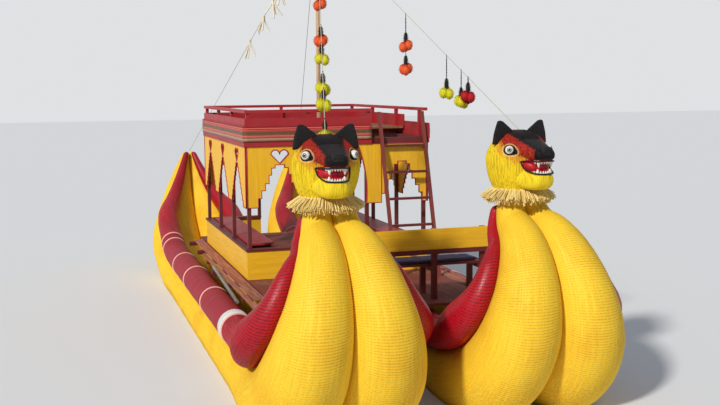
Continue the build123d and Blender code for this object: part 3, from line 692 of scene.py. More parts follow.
@dataclass(frozen=True)
class FacePaint:
    """Paint on the reeds of a head, laid out by the place on the head itself.

    An edge is the two places between which one colour gives way to the next.
    """

    name: str = "head_paint"
    reed: Colour = paint(246, 216, 42)
    reed_dark: Colour = paint(150, 122, 20)
    red: Colour = paint(188, 32, 34)
    red_dark: Colour = paint(48, 8, 14)
    rust: Colour = paint(204, 104, 44)
    black: Colour = paint(14, 11, 13)
    char: Colour = paint(66, 30, 30)
    pale: Colour = paint(238, 206, 130)
    slant: float = 0.55
    rust_edge: Edge = (0.50, 0.60)
    rust_front: Edge = (-0.05, 0.08)
    red_edge: Edge = (0.615, 0.645)
    crown_edge: Edge = (0.475, 0.505)
    bridge_front: Edge = (-0.02, 0.04)
    nose_front: Edge = (0.43, 0.45)
    nose_foot: Edge = (0.435, 0.45)
    eye: Place = (0.185, 0.235, 0.53)
    eye_radius: float = 0.057
    eye_point: Place = (0.222, 0.192, 0.503)
    point_radius: float = 0.026

    def build(self) -> Material:
        """Make the material: yellow jowls, a red brow, a black crown, black almonds at the eyes.

        Returns:
            The finished material.
        """
        graph = start_material(self.name, 0.6, 0.15)
        local = graph.attribute("local", "Vector")
        ahead, across, up = graph.split(local)
        aside = graph.math("ABSOLUTE", across)
        rough = graph.noise(local, 34.0, 5.0, 0.75)
        ragged = graph.noise(graph.vector("MULTIPLY", local, (40.0, 130.0, 40.0)), 1.0, 3.0, 0.7)
        wobble = graph.times_plus(rough, 0.10, graph.times_plus(ragged, 0.10, -0.10))
        streak = graph.noise(graph.vector("MULTIPLY", local, (85.0, 85.0, 5.0)), 1.0, 3.0, 0.6)
        shade = graph.times(graph.attribute("shade"), 0.2)
        dark = graph.times_plus(graph.ramp(streak, 0.42, 0.72), 0.6, shade)
        base = graph.mix(dark, self.reed, self.reed_dark)

        jowl = graph.plus(graph.times_plus(ahead, self.slant, up), graph.times(wobble, 1.6))
        tinge = graph.times(graph.ramp(jowl, *self.rust_edge), graph.ramp(ahead, *self.rust_front))
        base = graph.mix(graph.times(tinge, 0.65), base, self.rust)
        brow = graph.times_plus(ahead, self.slant, graph.plus(up, wobble))
        red = graph.ramp(brow, *self.red_edge)
        fur = graph.mix(graph.ramp(ragged, 0.40, 0.66), self.red, self.red_dark)
        base = graph.mix(graph.times(red, 0.96), base, fur)

        half = graph.times_plus(up, 0.35, -0.085)
        beside = graph.ramp(graph.minus(graph.plus(aside, wobble), half), 0.012, -0.012)
        bridge = graph.times(beside, graph.ramp(graph.plus(ahead, wobble), *self.bridge_front))
        high = graph.ramp(graph.plus(up, wobble), *self.crown_edge)
        nose = graph.times(graph.ramp(ahead, *self.nose_front), graph.ramp(up, *self.nose_foot))
        black = graph.math("MAXIMUM", graph.times(bridge, high), nose)

        flatter = 0.8
        spot = graph.combine(graph.times(ahead, flatter), aside, up)
        gaps = []
        for (x, y, z), radius in ((self.eye, self.eye_radius), (self.eye_point, self.point_radius)):
            gaps.append(graph.minus(graph.vector("DISTANCE", spot, (x * flatter, y, z)), radius))
        rim = graph.math("SMOOTH_MIN", *gaps, 0.05)
        base = graph.mix(graph.times(graph.ramp(rim, 0.018, 0.008), 0.55), base, self.pale)
        black = graph.math("MAXIMUM", black, graph.ramp(rim, 0.004, -0.003))
        char = graph.mix(graph.ramp(ragged, 0.5, 0.8), self.black, self.char)
        base = graph.mix(black, base, char)
        coarse = graph.times(ragged, graph.times_plus(red, 1.4, 0.2))
        glossier = graph.times_plus(black, -0.1, 0.6)
        return graph.finish(base, glossier, graph.plus(coarse, streak), 0.006, 0.8)


@dataclass(frozen=True)
class EyePaint:
    """A white eye with a dark ring and a pupil, drawn round the way it looks."""

    name: str = "eye_paint"
    rings: tuple[tuple[float, Colour], ...] = (
        (0.0, paint(15, 14, 16)), (0.16, paint(15, 14, 16)), (0.19, paint(150, 150, 150)),
        (0.27, paint(170, 170, 168)), (0.30, paint(20, 20, 22)), (0.36, paint(20, 20, 22)),
        (0.40, paint(238, 238, 232)), (1.0, paint(225, 225, 220)),
    )

    def build(self) -> Material:
        """Make the material from the distance to the middle of the pupil.

        Returns:
            The finished material.
        """
        graph = start_material(self.name, 0.18, Coat_Weight=0.4)
        colour = graph.bands(graph.attribute("look"), self.rings, "LINEAR")
        graph.feed(graph.shader.inputs["Base Color"], colour)
        return graph.material


@dataclass(frozen=True)
class GlossPaint:
    """Plain glossy paint with slight unevenness, for lips, teeth and ears."""

    name: str
    colour: Colour
    dark: Colour
    roughness: float
    unevenness: float

    def build(self) -> Material:
        """Make the material: two shades over a fine uneven surface.

        Returns:
            The finished material.
        """
        graph = start_material(self.name, self.roughness)
        patches = graph.noise(graph.place(), self.unevenness, 4.0, 0.6)
        base = graph.mix(graph.ramp(patches, 0.35, 0.7), self.colour, self.dark)
        rough = graph.times_plus(patches, 0.25, self.roughness)
        return graph.finish(base, rough, patches, 0.003, 0.4)


def mesh_object(name: str, points: Sequence[Any], faces: Sequence[Sequence[int]],
                edges: Sequence[tuple[int, int]] = ()) -> Piece:
    """Make an object from plain points and faces.

    Args:
        name: The piece's name.
        points: Its vertices.
        faces: Its faces, as vertex numbers.
        edges: Loose edges, for a line.

    Returns:
        The linked object.
    """
    mesh = bpy.data.meshes.new(name)
    mesh.from_pydata([tuple(point) for point in points], list(edges), list(faces))
    mesh.update()
    return linked(name, mesh)


def linked(name: str, data: bpy.types.ID) -> Piece:
    """Put an object into the scene.

    Args:
        name: Its name.
        data: Its mesh, curve, lamp or camera.

    Returns:
        The object.
    """
    made = bpy.data.objects.new(name, data)
    bpy.context.scene.collection.objects.link(made)
    return made


def line_object(name: str, points: Sequence[Vector]) -> Piece:
    """Make a line, each point joined to the next."""
    return mesh_object(name, points, [], [(number, number + 1) for number in range(len(points) - 1)])


def bake(source: Piece, name: str) -> Piece:
    """Turn an object and its modifiers into a plain mesh at the origin.

    Args:
        source: The object, which is removed.
        name: The name of the plain piece.

    Returns:
        The plain piece.
    """
    bpy.context.view_layer.update()
    graph = bpy.context.evaluated_depsgraph_get()
    final = source.evaluated_get(graph)
    mesh = bpy.data.meshes.new_from_object(final, preserve_all_data_layers=True, depsgraph=graph)
    mesh.transform(source.matrix_world)
    bpy.data.objects.remove(source)
    mesh.name = name
    return linked(name, mesh)


def run_nodes(source: Piece, tree: Tree, values: dict[str, Any], name: str) -> Piece:
    """Run a geometry node tree on an object and bake the result.

    Args:
        source: The object that the tree starts from.
        tree: The geometry node tree.
        values: Its inputs by name.
        name: The name of the plain piece.

    Returns:
        The plain piece.
    """
    modifier = source.modifiers.new("nodes", "NODES")
    modifier.node_group = tree
    for item in tree.interface.items_tree:
        if item.item_type == "SOCKET" and item.in_out == "INPUT" and item.name in values:
            modifier[item.identifier] = values[item.name]
    return bake(source, name)


def circle(middle: Vector, first: Vector, second: Vector, count: int) -> list[Vector]:
    """Points round a middle, from the end of the first spoke by way of the second's."""
    turns = [2 * math.pi * number / count for number in range(count)]
    return [middle + first * math.cos(turn) + second * math.sin(turn) for turn in turns]


def loft_faces(rows: int, count: int, start: int = 0) -> list[list[int]]:
    """Faces that join rings of points into one skin with closed ends.

    Args:
        rows: How many rings.
        count: How many points each ring has.
        start: The number of the first ring's first point.

    Returns:
        The faces, as point numbers.
    """
    faces = []
    for row in range(rows - 1):
        low = start + row * count
        for place in range(count):
            after = (place + 1) % count
            faces.append([low + place, low + after, low + count + after, low + count + place])
    last = start + (rows - 1) * count
    faces.append([start + place for place in reversed(range(count))])
    faces.append([last + place for place in range(count)])
    return faces


def loft(name: str, rings: Sequence[Sequence[Vector]], rounded: bool = False) -> Piece:
    """Join rings of points, each with as many, into one closed piece.

    Args:
        name: The piece's name.
        rings: The rings in order.
        rounded: Whether it is rounded by a subdivision surface.

    Returns:
        The linked object, with its faces outward.
    """
    points = [point for ring in rings for point in ring]
    piece = mesh_object(name, points, loft_faces(len(rings), len(rings[0])))
    outward(piece)
    if not rounded:
        return piece
    modifier = piece.modifiers.new("round", "SUBSURF")
    modifier.levels = 1
    modifier.render_levels = 1
    piece.name = name + "_rough"
    return bake(piece, name)


def ball(name: str, middle: Vector, axes: Sequence[Vector], rows: int, count: int, gap: float) -> Piece:
    """A closed ball, its poles on the third axis.

    Args:
        name: The piece's name.
        middle: Its middle.
        axes: Its three half axes.
        rows: How many rings it has.
        count: How many points each ring has.
        gap: How far the first ring lies from the pole, as a share of a row.

    Returns:
        The linked object.
    """
    first, second, pole = axes
    rings = []
    for row in range(rows):
        tilt = math.pi * (row + gap) / (rows - 1 + 2 * gap)
        wide = math.sin(tilt)
        rings.append(circle(middle + pole * math.cos(tilt), first * wide, second * wide, count))
    return loft(name, rings)


def grid_faces(columns: int, rows: int) -> list[list[int]]:
    """Faces of a sheet whose points are numbered up each column in turn."""
    firsts = [column * (rows + 1) + row for column in range(columns) for row in range(rows)]
    return [[first, first + rows + 1, first + rows + 2, first + 1] for first in firsts]


def lay_map(piece: Piece, flat: Sequence[tuple[float, float]]) -> None:
    """Lay a piece's own flat map, given at each vertex."""
    corners = [value for loop in piece.data.loops for value in flat[loop.vertex_index]]
    piece.data.uv_layers.new(name="UVMap").data.foreach_set("uv", corners)


def cord_turns(name: str, turns: Iterable[tuple[Vector, float, Vector]], thick: float) -> Piece:
    """Closed turns of cord round a middle line, as one piece.

    Args:
        name: The piece's name.
        turns: Middle, radius and direction to the hollow of each turn.
        thick: The cord's radius.

    Returns:
        The linked object.
    """
    steps_round, corners = 40, 8
    points: list[Vector] = []
    faces: list[list[int]] = []
    for middle, radius, hollow in turns:
        start = len(points)
        along = TO_PORT.cross(hollow)
        for number in range(steps_round):
            angle = 2 * math.pi * number / steps_round
            spoke = TO_PORT * math.cos(angle) + hollow * math.sin(angle)
            points += circle(middle + spoke * radius, spoke * thick, along * thick, corners)
            here = start + number * corners
            there = start + (number + 1) % steps_round * corners
            for corner in range(corners):
                after = (corner + 1) % corners
                faces.append([here + corner, there + corner, there + after, here + after])
    return mesh_object(name, points, faces)


def outward(piece: Piece) -> None:
    """Merge doubles and turn the faces outward.

    Args:
        piece: The closed piece.
    """
    working = bmesh.new()
    working.from_mesh(piece.data)
    bmesh.ops.remove_doubles(working, verts=working.verts, dist=1e-5)
    bmesh.ops.recalc_face_normals(working, faces=working.faces)
    working.to_mesh(piece.data)
    working.free()


def smooth(piece: Piece) -> None:
    """Shade a piece smooth."""
    piece.data.polygons.foreach_set("use_smooth", [True] * len(piece.data.polygons))


def put_material(piece: Piece, material: Material) -> None:
    """Give a piece one material."""
    piece.data.materials.clear()
    piece.data.materials.append(material)


def tag(piece: Piece, name: str, values: Callable[[Vector], Any], kind: str = "FLOAT_VECTOR") -> None:
    """Store a value at each vertex, worked out from its place.

    Args:
        piece: The piece, still in the frame that the value is worked out in.
        name: The attribute's name.
        values: Gives the value at a place.
        kind: FLOAT_VECTOR or FLOAT.
    """
    layer = piece.data.attributes.new(name, kind, "POINT")
    flat: list[float] = []
    for vertex in piece.data.vertices:
        value = values(vertex.co)
        flat.extend(value if kind == "FLOAT_VECTOR" else (value,))
    layer.data.foreach_set("vector" if kind == "FLOAT_VECTOR" else "value", flat)


def settle(piece: Piece, stands_for: Sequence[str] = ()) -> None:
    """Let a finished piece ride on the boat, and hide the CAD nodes it stands for.

    Args:
        piece: The finished piece.
        stands_for: CAD nodes that it replaces.
    """
    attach(piece, BODY)
    if stands_for:
        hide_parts(*stands_for)
    LOG.info("piece %s: %d faces", piece.name, len(piece.data.polygons))


def steps(first: float, last: float, pitch: float) -> list[float]:
    """Evenly spaced places from first to last, no further apart than pitch."""
    count = max(2, math.ceil(abs(last - first) / pitch))
    return [first + (last - first) * number / count for number in range(count + 1)]


@dataclass(frozen=True)
class Bend:
    """One arc of a hull's axis: turn radius, and at its end the pitch, both radii and the roll's lean."""

    turn: float
    pitch: float
    bundle: float
    roll: float
    lean: float


@dataclass(frozen=True)
class Station:
    """A place on a hull's axis: where it is, its slope, both radii and the roll's lean."""

    x: float
    z: float
    slope: float
    bundle: float
    roll: float
    lean: float

    @property
    def hollow(self) -> Vector:
        """The direction across the axis to the hollow of its curve."""
        return Vector((-math.sin(self.slope), 0.0, math.cos(self.slope)))


@dataclass(frozen=True)
class HullAxis:
    """The axis of a hull: straight amidships, with tangent arcs to the stern tip and the neck."""

    aft: float = CABIN_FRONT - 3.8
    fore: float = CABIN_FRONT + 2.01
    bundle: float = 0.4
    roll: float = 0.188
    lean: float = 24.0
    stern: tuple[Bend, ...] = (
        Bend(3.6, 33, 0.445, 0.182, 17), Bend(1.7, 68, 0.265, 0.108, 10), Bend(2.1, 88, 0.06, 0.045, 5),
    )
    bow: tuple[Bend, ...] = (
        Bend(3.35, 22, 0.47, 0.178, 34), Bend(1.165, 65, 0.422, 0.21, 49),
        Bend(0.79, 127, 0.25, 0.112, 58), Bend(0.64, 160, 0.182, 0.082, 60),
        Bend(-0.29, 90, 0.135, 0.046, 22),
    )
    spacing: float = 2.14
    sway_foot: float = 1.2
    port_sway: float = -0.08
    easing: float = 0.36

    @staticmethod
    def reach(bends: Sequence[Bend]) -> float:
        """The length of a run of arcs."""
        starts = [0.0, *(bend.pitch for bend in bends)]
        return sum(abs(bend.turn * math.radians(bend.pitch - start)) for bend, start in zip(bends, starts))

    @property
    def ends(self) -> tuple[float, float]:
        """The places of the stern tip and the neck along the axis."""
        return self.aft - self.reach(self.stern), self.fore + self.reach(self.bow)

    def at(self, place: float) -> Station:
        """Find a station.

        Args:
            place: Where it is along the axis, equal to X on the straight run.

        Returns:
            The station.
        """
        if self.aft <= place <= self.fore:
            return Station(place, self.bundle, 0.0, self.bundle, self.roll, self.lean)
        ahead = place > self.fore
        way, bends = (1, self.bow) if ahead else (-1, self.stern)
        left = place - self.fore if ahead else self.aft - place
        x, z, pitch = (self.fore if ahead else self.aft), self.bundle, 0.0
        before = (self.bundle, self.roll, self.lean)
        for bend in bends:
            first, last = math.radians(pitch), math.radians(bend.pitch)
            length = abs(bend.turn * (last - first))
            share = min(1.0, left / length)
            slope = first + (last - first) * share
            x += way * bend.turn * (math.sin(slope) - math.sin(first))
            z += bend.turn * (math.cos(first) - math.cos(slope))
            after = (bend.bundle, bend.roll, bend.lean)
            if left <= length or bend is bends[-1]:
                here = [low + (high - low) * share for low, high in zip(before, after)]
                return Station(x, z, way * slope, *here)
            left -= length
            pitch, before = bend.pitch, after
        raise ValueError("an axis needs at least one arc")

    def eased(self, place: float) -> Station:
        """Find a station, with its radii and lean averaged over a short way to both sides.

        Args:
            place: Where it is along the axis.

        Returns:
            The station.
        """
        first, last = self.ends
        way = max(0.0, min(self.easing, place - first, last - place))
        near = [self.at(place + way * share) for share in (-1.0, -0.5, 0.0, 0.5, 1.0)]
        means = [sum(getattr(station, name) for station in near) / len(near)
                 for name in ("bundle", "roll", "lean")]
        return Station(near[2].x, near[2].z, near[2].slope, *means)

    def middle(self, side: Side, station: Station) -> float:
        """Find the middle of a hull at a station: the port neck bends inward as it narrows.

        Args:
            side: The hull.
            station: The station.

        Returns:
            The Y of the hull's middle.
        """
        across = side.value * self.spacing / 2
        if side is Side.STARBOARD or station.x < 0.0:
            return across
        top = self.at(self.ends[1]).z
        return across + self.port_sway * max(0.0, (station.z - self.sway_foot) / (top - self.sway_foot))


class BoundTubes:
    """The geometry node tree that winds a bundle of reeds along a line."""

    @cached_property
    def tree(self) -> Tree:
        """A skin round a line, drawn in at every turn of the binding and flat on its seam.

        Returns:
            The tree.
        """
        graph, given, leave = new_maker("bound_tube", "Line", [
            ("Ring pitch", FLOAT, 0.022), ("Ring depth", FLOAT, 0.004), ("Facets", WHOLE, 28),
            ("Seam side", FLOAT, 1.0), ("Seam spread", FLOAT, 9.0), ("Unevenness", FLOAT, 0.002),
            ("Unevenness size", FLOAT, 9.0), ("Round end", FLOAT, 0.06),
        ])
        curve = graph.out("GeometryNodeMeshToCurve", {0: given["Line"]})
        length = graph.out("GeometryNodeCurveLength", {0: curve})
        rings = graph.math("FLOOR", graph.math("DIVIDE", length, given["Ring pitch"]))
        rows = graph.times_plus(rings, 2.0, 1.0)
        grid = graph.out("GeometryNodeMeshGrid", {
            "Size X": 1.0, "Size Y": 1.0, "Vertices X": rows, "Vertices Y": graph.plus(given["Facets"], 1.0),
        })
        across, up, _ = graph.split(graph.out("GeometryNodeInputPosition"))
        share = graph.plus(across, 0.5, clamp=True)
        turn = graph.plus(up, 0.5)
        row = graph.math("ROUND", graph.times(share, graph.minus(rows, 1.0)))
        groove = graph.minus(1.0, graph.math("MODULO", row, 2.0))

        radius = graph.out("GeometryNodeInputNamedAttribute", {0: "tube_radius"}, data_type="FLOAT")
        sample = graph.node("GeometryNodeSampleCurve", {"Curves": curve, "Value": radius, "Factor": share},
                            data_type="FLOAT", mode="FACTOR")
        centre, wide = sample.outputs["Position"], sample.outputs["Value"]
        side_on = graph.vector("CROSS_PRODUCT", sample.outputs["Tangent"], (0.0, 1.0, 0.0))
        angle = graph.times(turn, -2.0 * math.pi)
        spoke = graph.vector(
            "ADD", graph.scaled((0.0, 1.0, 0.0), graph.math("COSINE", angle)),
            graph.scaled(graph.vector("NORMALIZE", side_on), graph.math("SINE", angle)),
        )
        from_end = graph.times(graph.math("MINIMUM", share, graph.minus(1.0, share)), length)
        near = graph.minus(1.0, graph.math("DIVIDE", from_end, given["Round end"]), clamp=True)
        cap = graph.math("SQRT", graph.minus(1.0, graph.times(near, near), clamp=True))
        bumps = graph.noise(graph.vector("ADD", centre, graph.scaled(spoke, wide)), given["Unevenness size"])
        uneven = graph.times(graph.minus(bumps, 0.5), graph.times(given["Unevenness"], 2.0))
        drawn_in = graph.minus(wide, graph.times(groove, given["Ring depth"]))
        thick = graph.times(graph.plus(drawn_in, uneven), cap)
        x, y, z = graph.split(graph.vector("ADD", centre, graph.scaled(spoke, thick)))

        flank = given["Seam side"]
        beside = graph.times(graph.split(centre)[1], flank)
        seam = graph.minus(beside, graph.times(wide, given["Seam spread"]))
        pushed = graph.math("MAXIMUM", graph.times(y, flank), seam)
        at = graph.combine(x, graph.times(pushed, flank), z)
        flat = graph.combine(graph.times(share, length), turn)
        mapped = graph.store(grid, "UVMap", flat, "CORNER", "FLOAT2")
        marked = graph.store(mapped, "groove", groove, "POINT")
        moved = graph.out("GeometryNodeSetPosition", {"Geometry": marked, "Position": at})
        merged = graph.out("GeometryNodeMergeByDistance", {"Geometry": moved, "Distance": 0.0001})
        return graph.close(leave, merged, given["Finish"], soft=True)

    def wind(self, name: str, line: Sequence[tuple[Vector, float]], values: dict[str, Any]) -> Piece:
        """Wind one bundle.

        Args:
            name: The piece's name.
            line: Points of the middle line, each with its radius.
            values: Inputs of the tree by name.

        Returns:
            The plain piece.
        """
        spine = line_object(name + "_line", [point for point, _ in line])
        layer = spine.data.attributes.new("tube_radius", "FLOAT", "POINT")
        layer.data.foreach_set("value", [radius for _, radius in line])
        return run_nodes(spine, self.tree, values, name)


TUBES = BoundTubes()


@dataclass
class Hulls:
    """The four fat reed bundles and the red rolls lashed on them."""

    axis: HullAxis = field(default_factory=HullAxis)
    pitch: float = 0.05
    seam: float = 0.0003
    spread: float = 0.9
    bedding: float = 0.010
    wrap_aft: float = CABIN_FRONT - 4.72
    wrap_fore: float = CABIN_FRONT + 1.40
    wrap_overlap: float = 0.1
    neck_gap: float = 0.045
    bands: tuple[float, ...] = (-4.70, -4.40, -3.0, -1.75, -0.15, 1.47)
    band_turns: tuple[float, ...] = (-0.013, 0.0, 0.013)
    cord: float = 0.008
    wide_band: tuple[float, float] = (CABIN_FRONT + 1.22, CABIN_FRONT + 1.43)

    def roll_spot(self, side: Side, lobe: int, place: float) -> tuple[Vector, float, Vector]:
        """Find where a roll lies on its bundle.

        Args:
            side: The hull.
            lobe: The sign of the bundle's Y from the middle of its hull.
            place: Where it is along the axis.

        Returns:
            The roll's middle, its radius and the direction to the hollow.
        """
        station = self.axis.eased(place)
        lean = math.radians(station.lean)
        reach = station.bundle + station.roll - self.bedding
        across = self.axis.middle(side, station)
        across += lobe * (self.seam + self.spread * station.bundle + reach * math.sin(lean))
        middle = Vector((station.x, across, station.z)) + station.hollow * (reach * math.cos(lean))
        return middle, station.roll, station.hollow

    def build(self) -> None:
        """Make the bundles, then the rolls in their three stretches, and the bands round them."""
        yellow = BoundReed("yellow_reed", paint(238, 184, 32), paint(255, 214, 58), paint(126, 82, 14),
                           0.55, 0.6).build()
        red = BoundReed("red_reed", paint(148, 6, 24), paint(186, 18, 38), paint(58, 4, 12),
                        0.3, 0.5, reeds=70.0, gap_shade_top=4.0, groove_shade_share=0.45).build()
        wrap = PlainCloth("maroon_wrap", paint(158, 14, 36), 90.0, 0.55, 0.0).build()
        cord = Strands("pale_cord", paint(236, 190, 175), paint(200, 130, 120)).build()
        white = PlainCloth("white_band", paint(232, 230, 226), 120.0, 0.6).build()
        for side in Side:
            for label, lobe in (("inner", -side.value), ("outer", side.value)):
                name = f"{side.label}_{label}"
                self.make_bundle(name, side, lobe, yellow)
                self.make_roll(name, side, lobe, red, wrap)
                self.make_bands(name, side, lobe, cord, white)

    def make_bundle(self, name: str, side: Side, lobe: int, finish: Material) -> None:
        """Wind one bundle, flat where it meets its twin.

        Args:
            name: The hull and the lobe, as the CAD nodes name them.
            side: The hull.
            lobe: The sign of the bundle's Y from the middle of its hull.
            finish: The bundle's material.
        """
        line = []
        for place in steps(*self.axis.ends, self.pitch):
            station = self.axis.eased(place)
            across = self.axis.middle(side, station) + lobe * (self.seam + self.spread * station.bundle)
            line.append((Vector((station.x, across, station.z)), station.bundle))
        piece = TUBES.wind(name + "_bundle_reeds", line, {
            "Ring pitch": 0.020, "Ring depth": 0.0065, "Facets": 44, "Seam side": float(lobe),
            "Seam spread": self.spread, "Unevenness": 0.004, "Unevenness size": 5.0, "Finish": finish,
        })
        settle(piece, [name + "_bundle"])

    def roll_line(self, side: Side, lobe: int, first: float, last: float,
                  grow: float) -> list[tuple[Vector, float]]:
        """Points along a roll, each with the radius of a piece that is thicker by a given measure."""
        spots = [self.roll_spot(side, lobe, place) for place in steps(first, last, self.pitch)]
        return [(middle, radius + grow) for middle, radius, _ in spots]

    def make_roll(self, name: str, side: Side, lobe: int, red: Material, wrap: Material) -> None:
        """Wind one roll: ringed reed at both ends and cloth amidships.

        Args:
            name: The hull and the lobe, as the CAD nodes name them.
            side: The hull.
            lobe: The sign of the roll's Y from the middle of its hull.
            red: The material of the reed.
            wrap: The material of the cloth.
        """
        first, last = self.axis.ends
        # Columns: stretch, start, end, how much thicker, finish, ring pitch, ring depth, unevenness.
        stretches = [
            ("stern", first, self.wrap_aft + self.wrap_overlap, 0.0, red, 0.022, 0.002, 0.003),
            ("wrap", self.wrap_aft, self.wrap_fore, 0.004, wrap, 0.05, 0.0, 0.007),
            ("bow", self.wrap_fore - self.wrap_overlap, last - self.neck_gap, 0.0, red, 0.026, 0.0045,
             0.003),
        ]
        for stretch, start, end, grow, finish, pitch, depth, uneven in stretches:
            line = self.roll_line(side, lobe, start, end, grow)
            piece = TUBES.wind(f"{name}_roll_{stretch}", line, {
                "Ring pitch": pitch, "Ring depth": depth, "Unevenness": uneven, "Unevenness size": 4.0,
                "Round end": 0.05, "Finish": finish,
            })
            settle(piece, [name + "_roll"])

    def make_bands(self, name: str, side: Side, lobe: int, cord: Material, white: Material) -> None:
        """Lay the cord bands and the wide white band round one roll.

        Args:
            name: The hull and the lobe, as the CAD nodes name them.
            side: The hull.
            lobe: The sign of the roll's Y from the middle of its hull.
            cord: The material of the cord.
            white: The material of the wide band.
        """
        turns = []
        for place in self.bands:
            for turn in self.band_turns:
                middle, radius, hollow = self.roll_spot(side, lobe, CABIN_FRONT + place + turn)
                turns.append((middle, radius + 0.005, hollow))
        piece = cord_turns(name + "_cord_bands", turns, self.cord)
        put_material(piece, cord)
        smooth(piece)
        settle(piece)
        band = TUBES.wind(name + "_white_band", self.roll_line(side, lobe, *self.wide_band, 0.012), {
            "Ring pitch": 0.05, "Ring depth": 0.0, "Facets": 36, "Unevenness": 0.004,
            "Unevenness size": 12.0, "Round end": 0.012, "Finish": white,
        })
        settle(band)


def straw_fringe() -> Tree:
    """The tree that hangs a blade of straw at each place round a ring.

    Returns:
        The tree.
    """
    graph, given, leave = new_maker("straw_fringe", "Line", [
        ("Blades", WHOLE, 130), ("Blade radius", FLOAT, 0.006), ("Ring radius", FLOAT, 0.25),
        ("Seed", WHOLE, 3),
    ])
    blade = graph.extruded(given["Line"], 4, given["Blade radius"], True)
    points = graph.out("GeometryNodePoints", {"Count": given["Blades"]})

    def pick(low: float, high: float, shift: float) -> Socket:
        """A random number for each blade, with a seed of its own."""
        return graph.random(low, high, graph.plus(given["Seed"], shift))

    place = graph.plus(graph.out("GeometryNodeInputIndex"), pick(-0.6, 0.6, 0.0))
    turn = graph.math("DIVIDE", graph.times(place, 2 * math.pi), given["Blades"])
    spot = graph.combine(
        graph.times(graph.math("COSINE", turn), given["Ring radius"]),
        graph.times(graph.math("SINE", turn), given["Ring radius"]), pick(-0.012, 0.012, 1.0),
    )
    placed = graph.out("GeometryNodeInstanceOnPoints", {
        "Points": graph.out("GeometryNodeSetPosition", {"Geometry": points, "Position": spot}),
        "Instance": blade, "Rotation": graph.combine(pick(-0.12, 0.12, 2.0), pick(-0.10, 0.12, 3.0), turn),
        "Scale": graph.combine(pick(0.85, 1.1, 4.0), pick(0.7, 1.7, 5.0), pick(0.75, 1.1, 6.0)),
    })
    shaded = graph.store(placed, "shade", pick(0.0, 1.0, 7.0), "INSTANCE")
    return graph.close(leave, shaded, given["Finish"])


Rows = tuple[tuple[float, ...], ...]
Part = tuple[Piece, str, Sequence[str]]


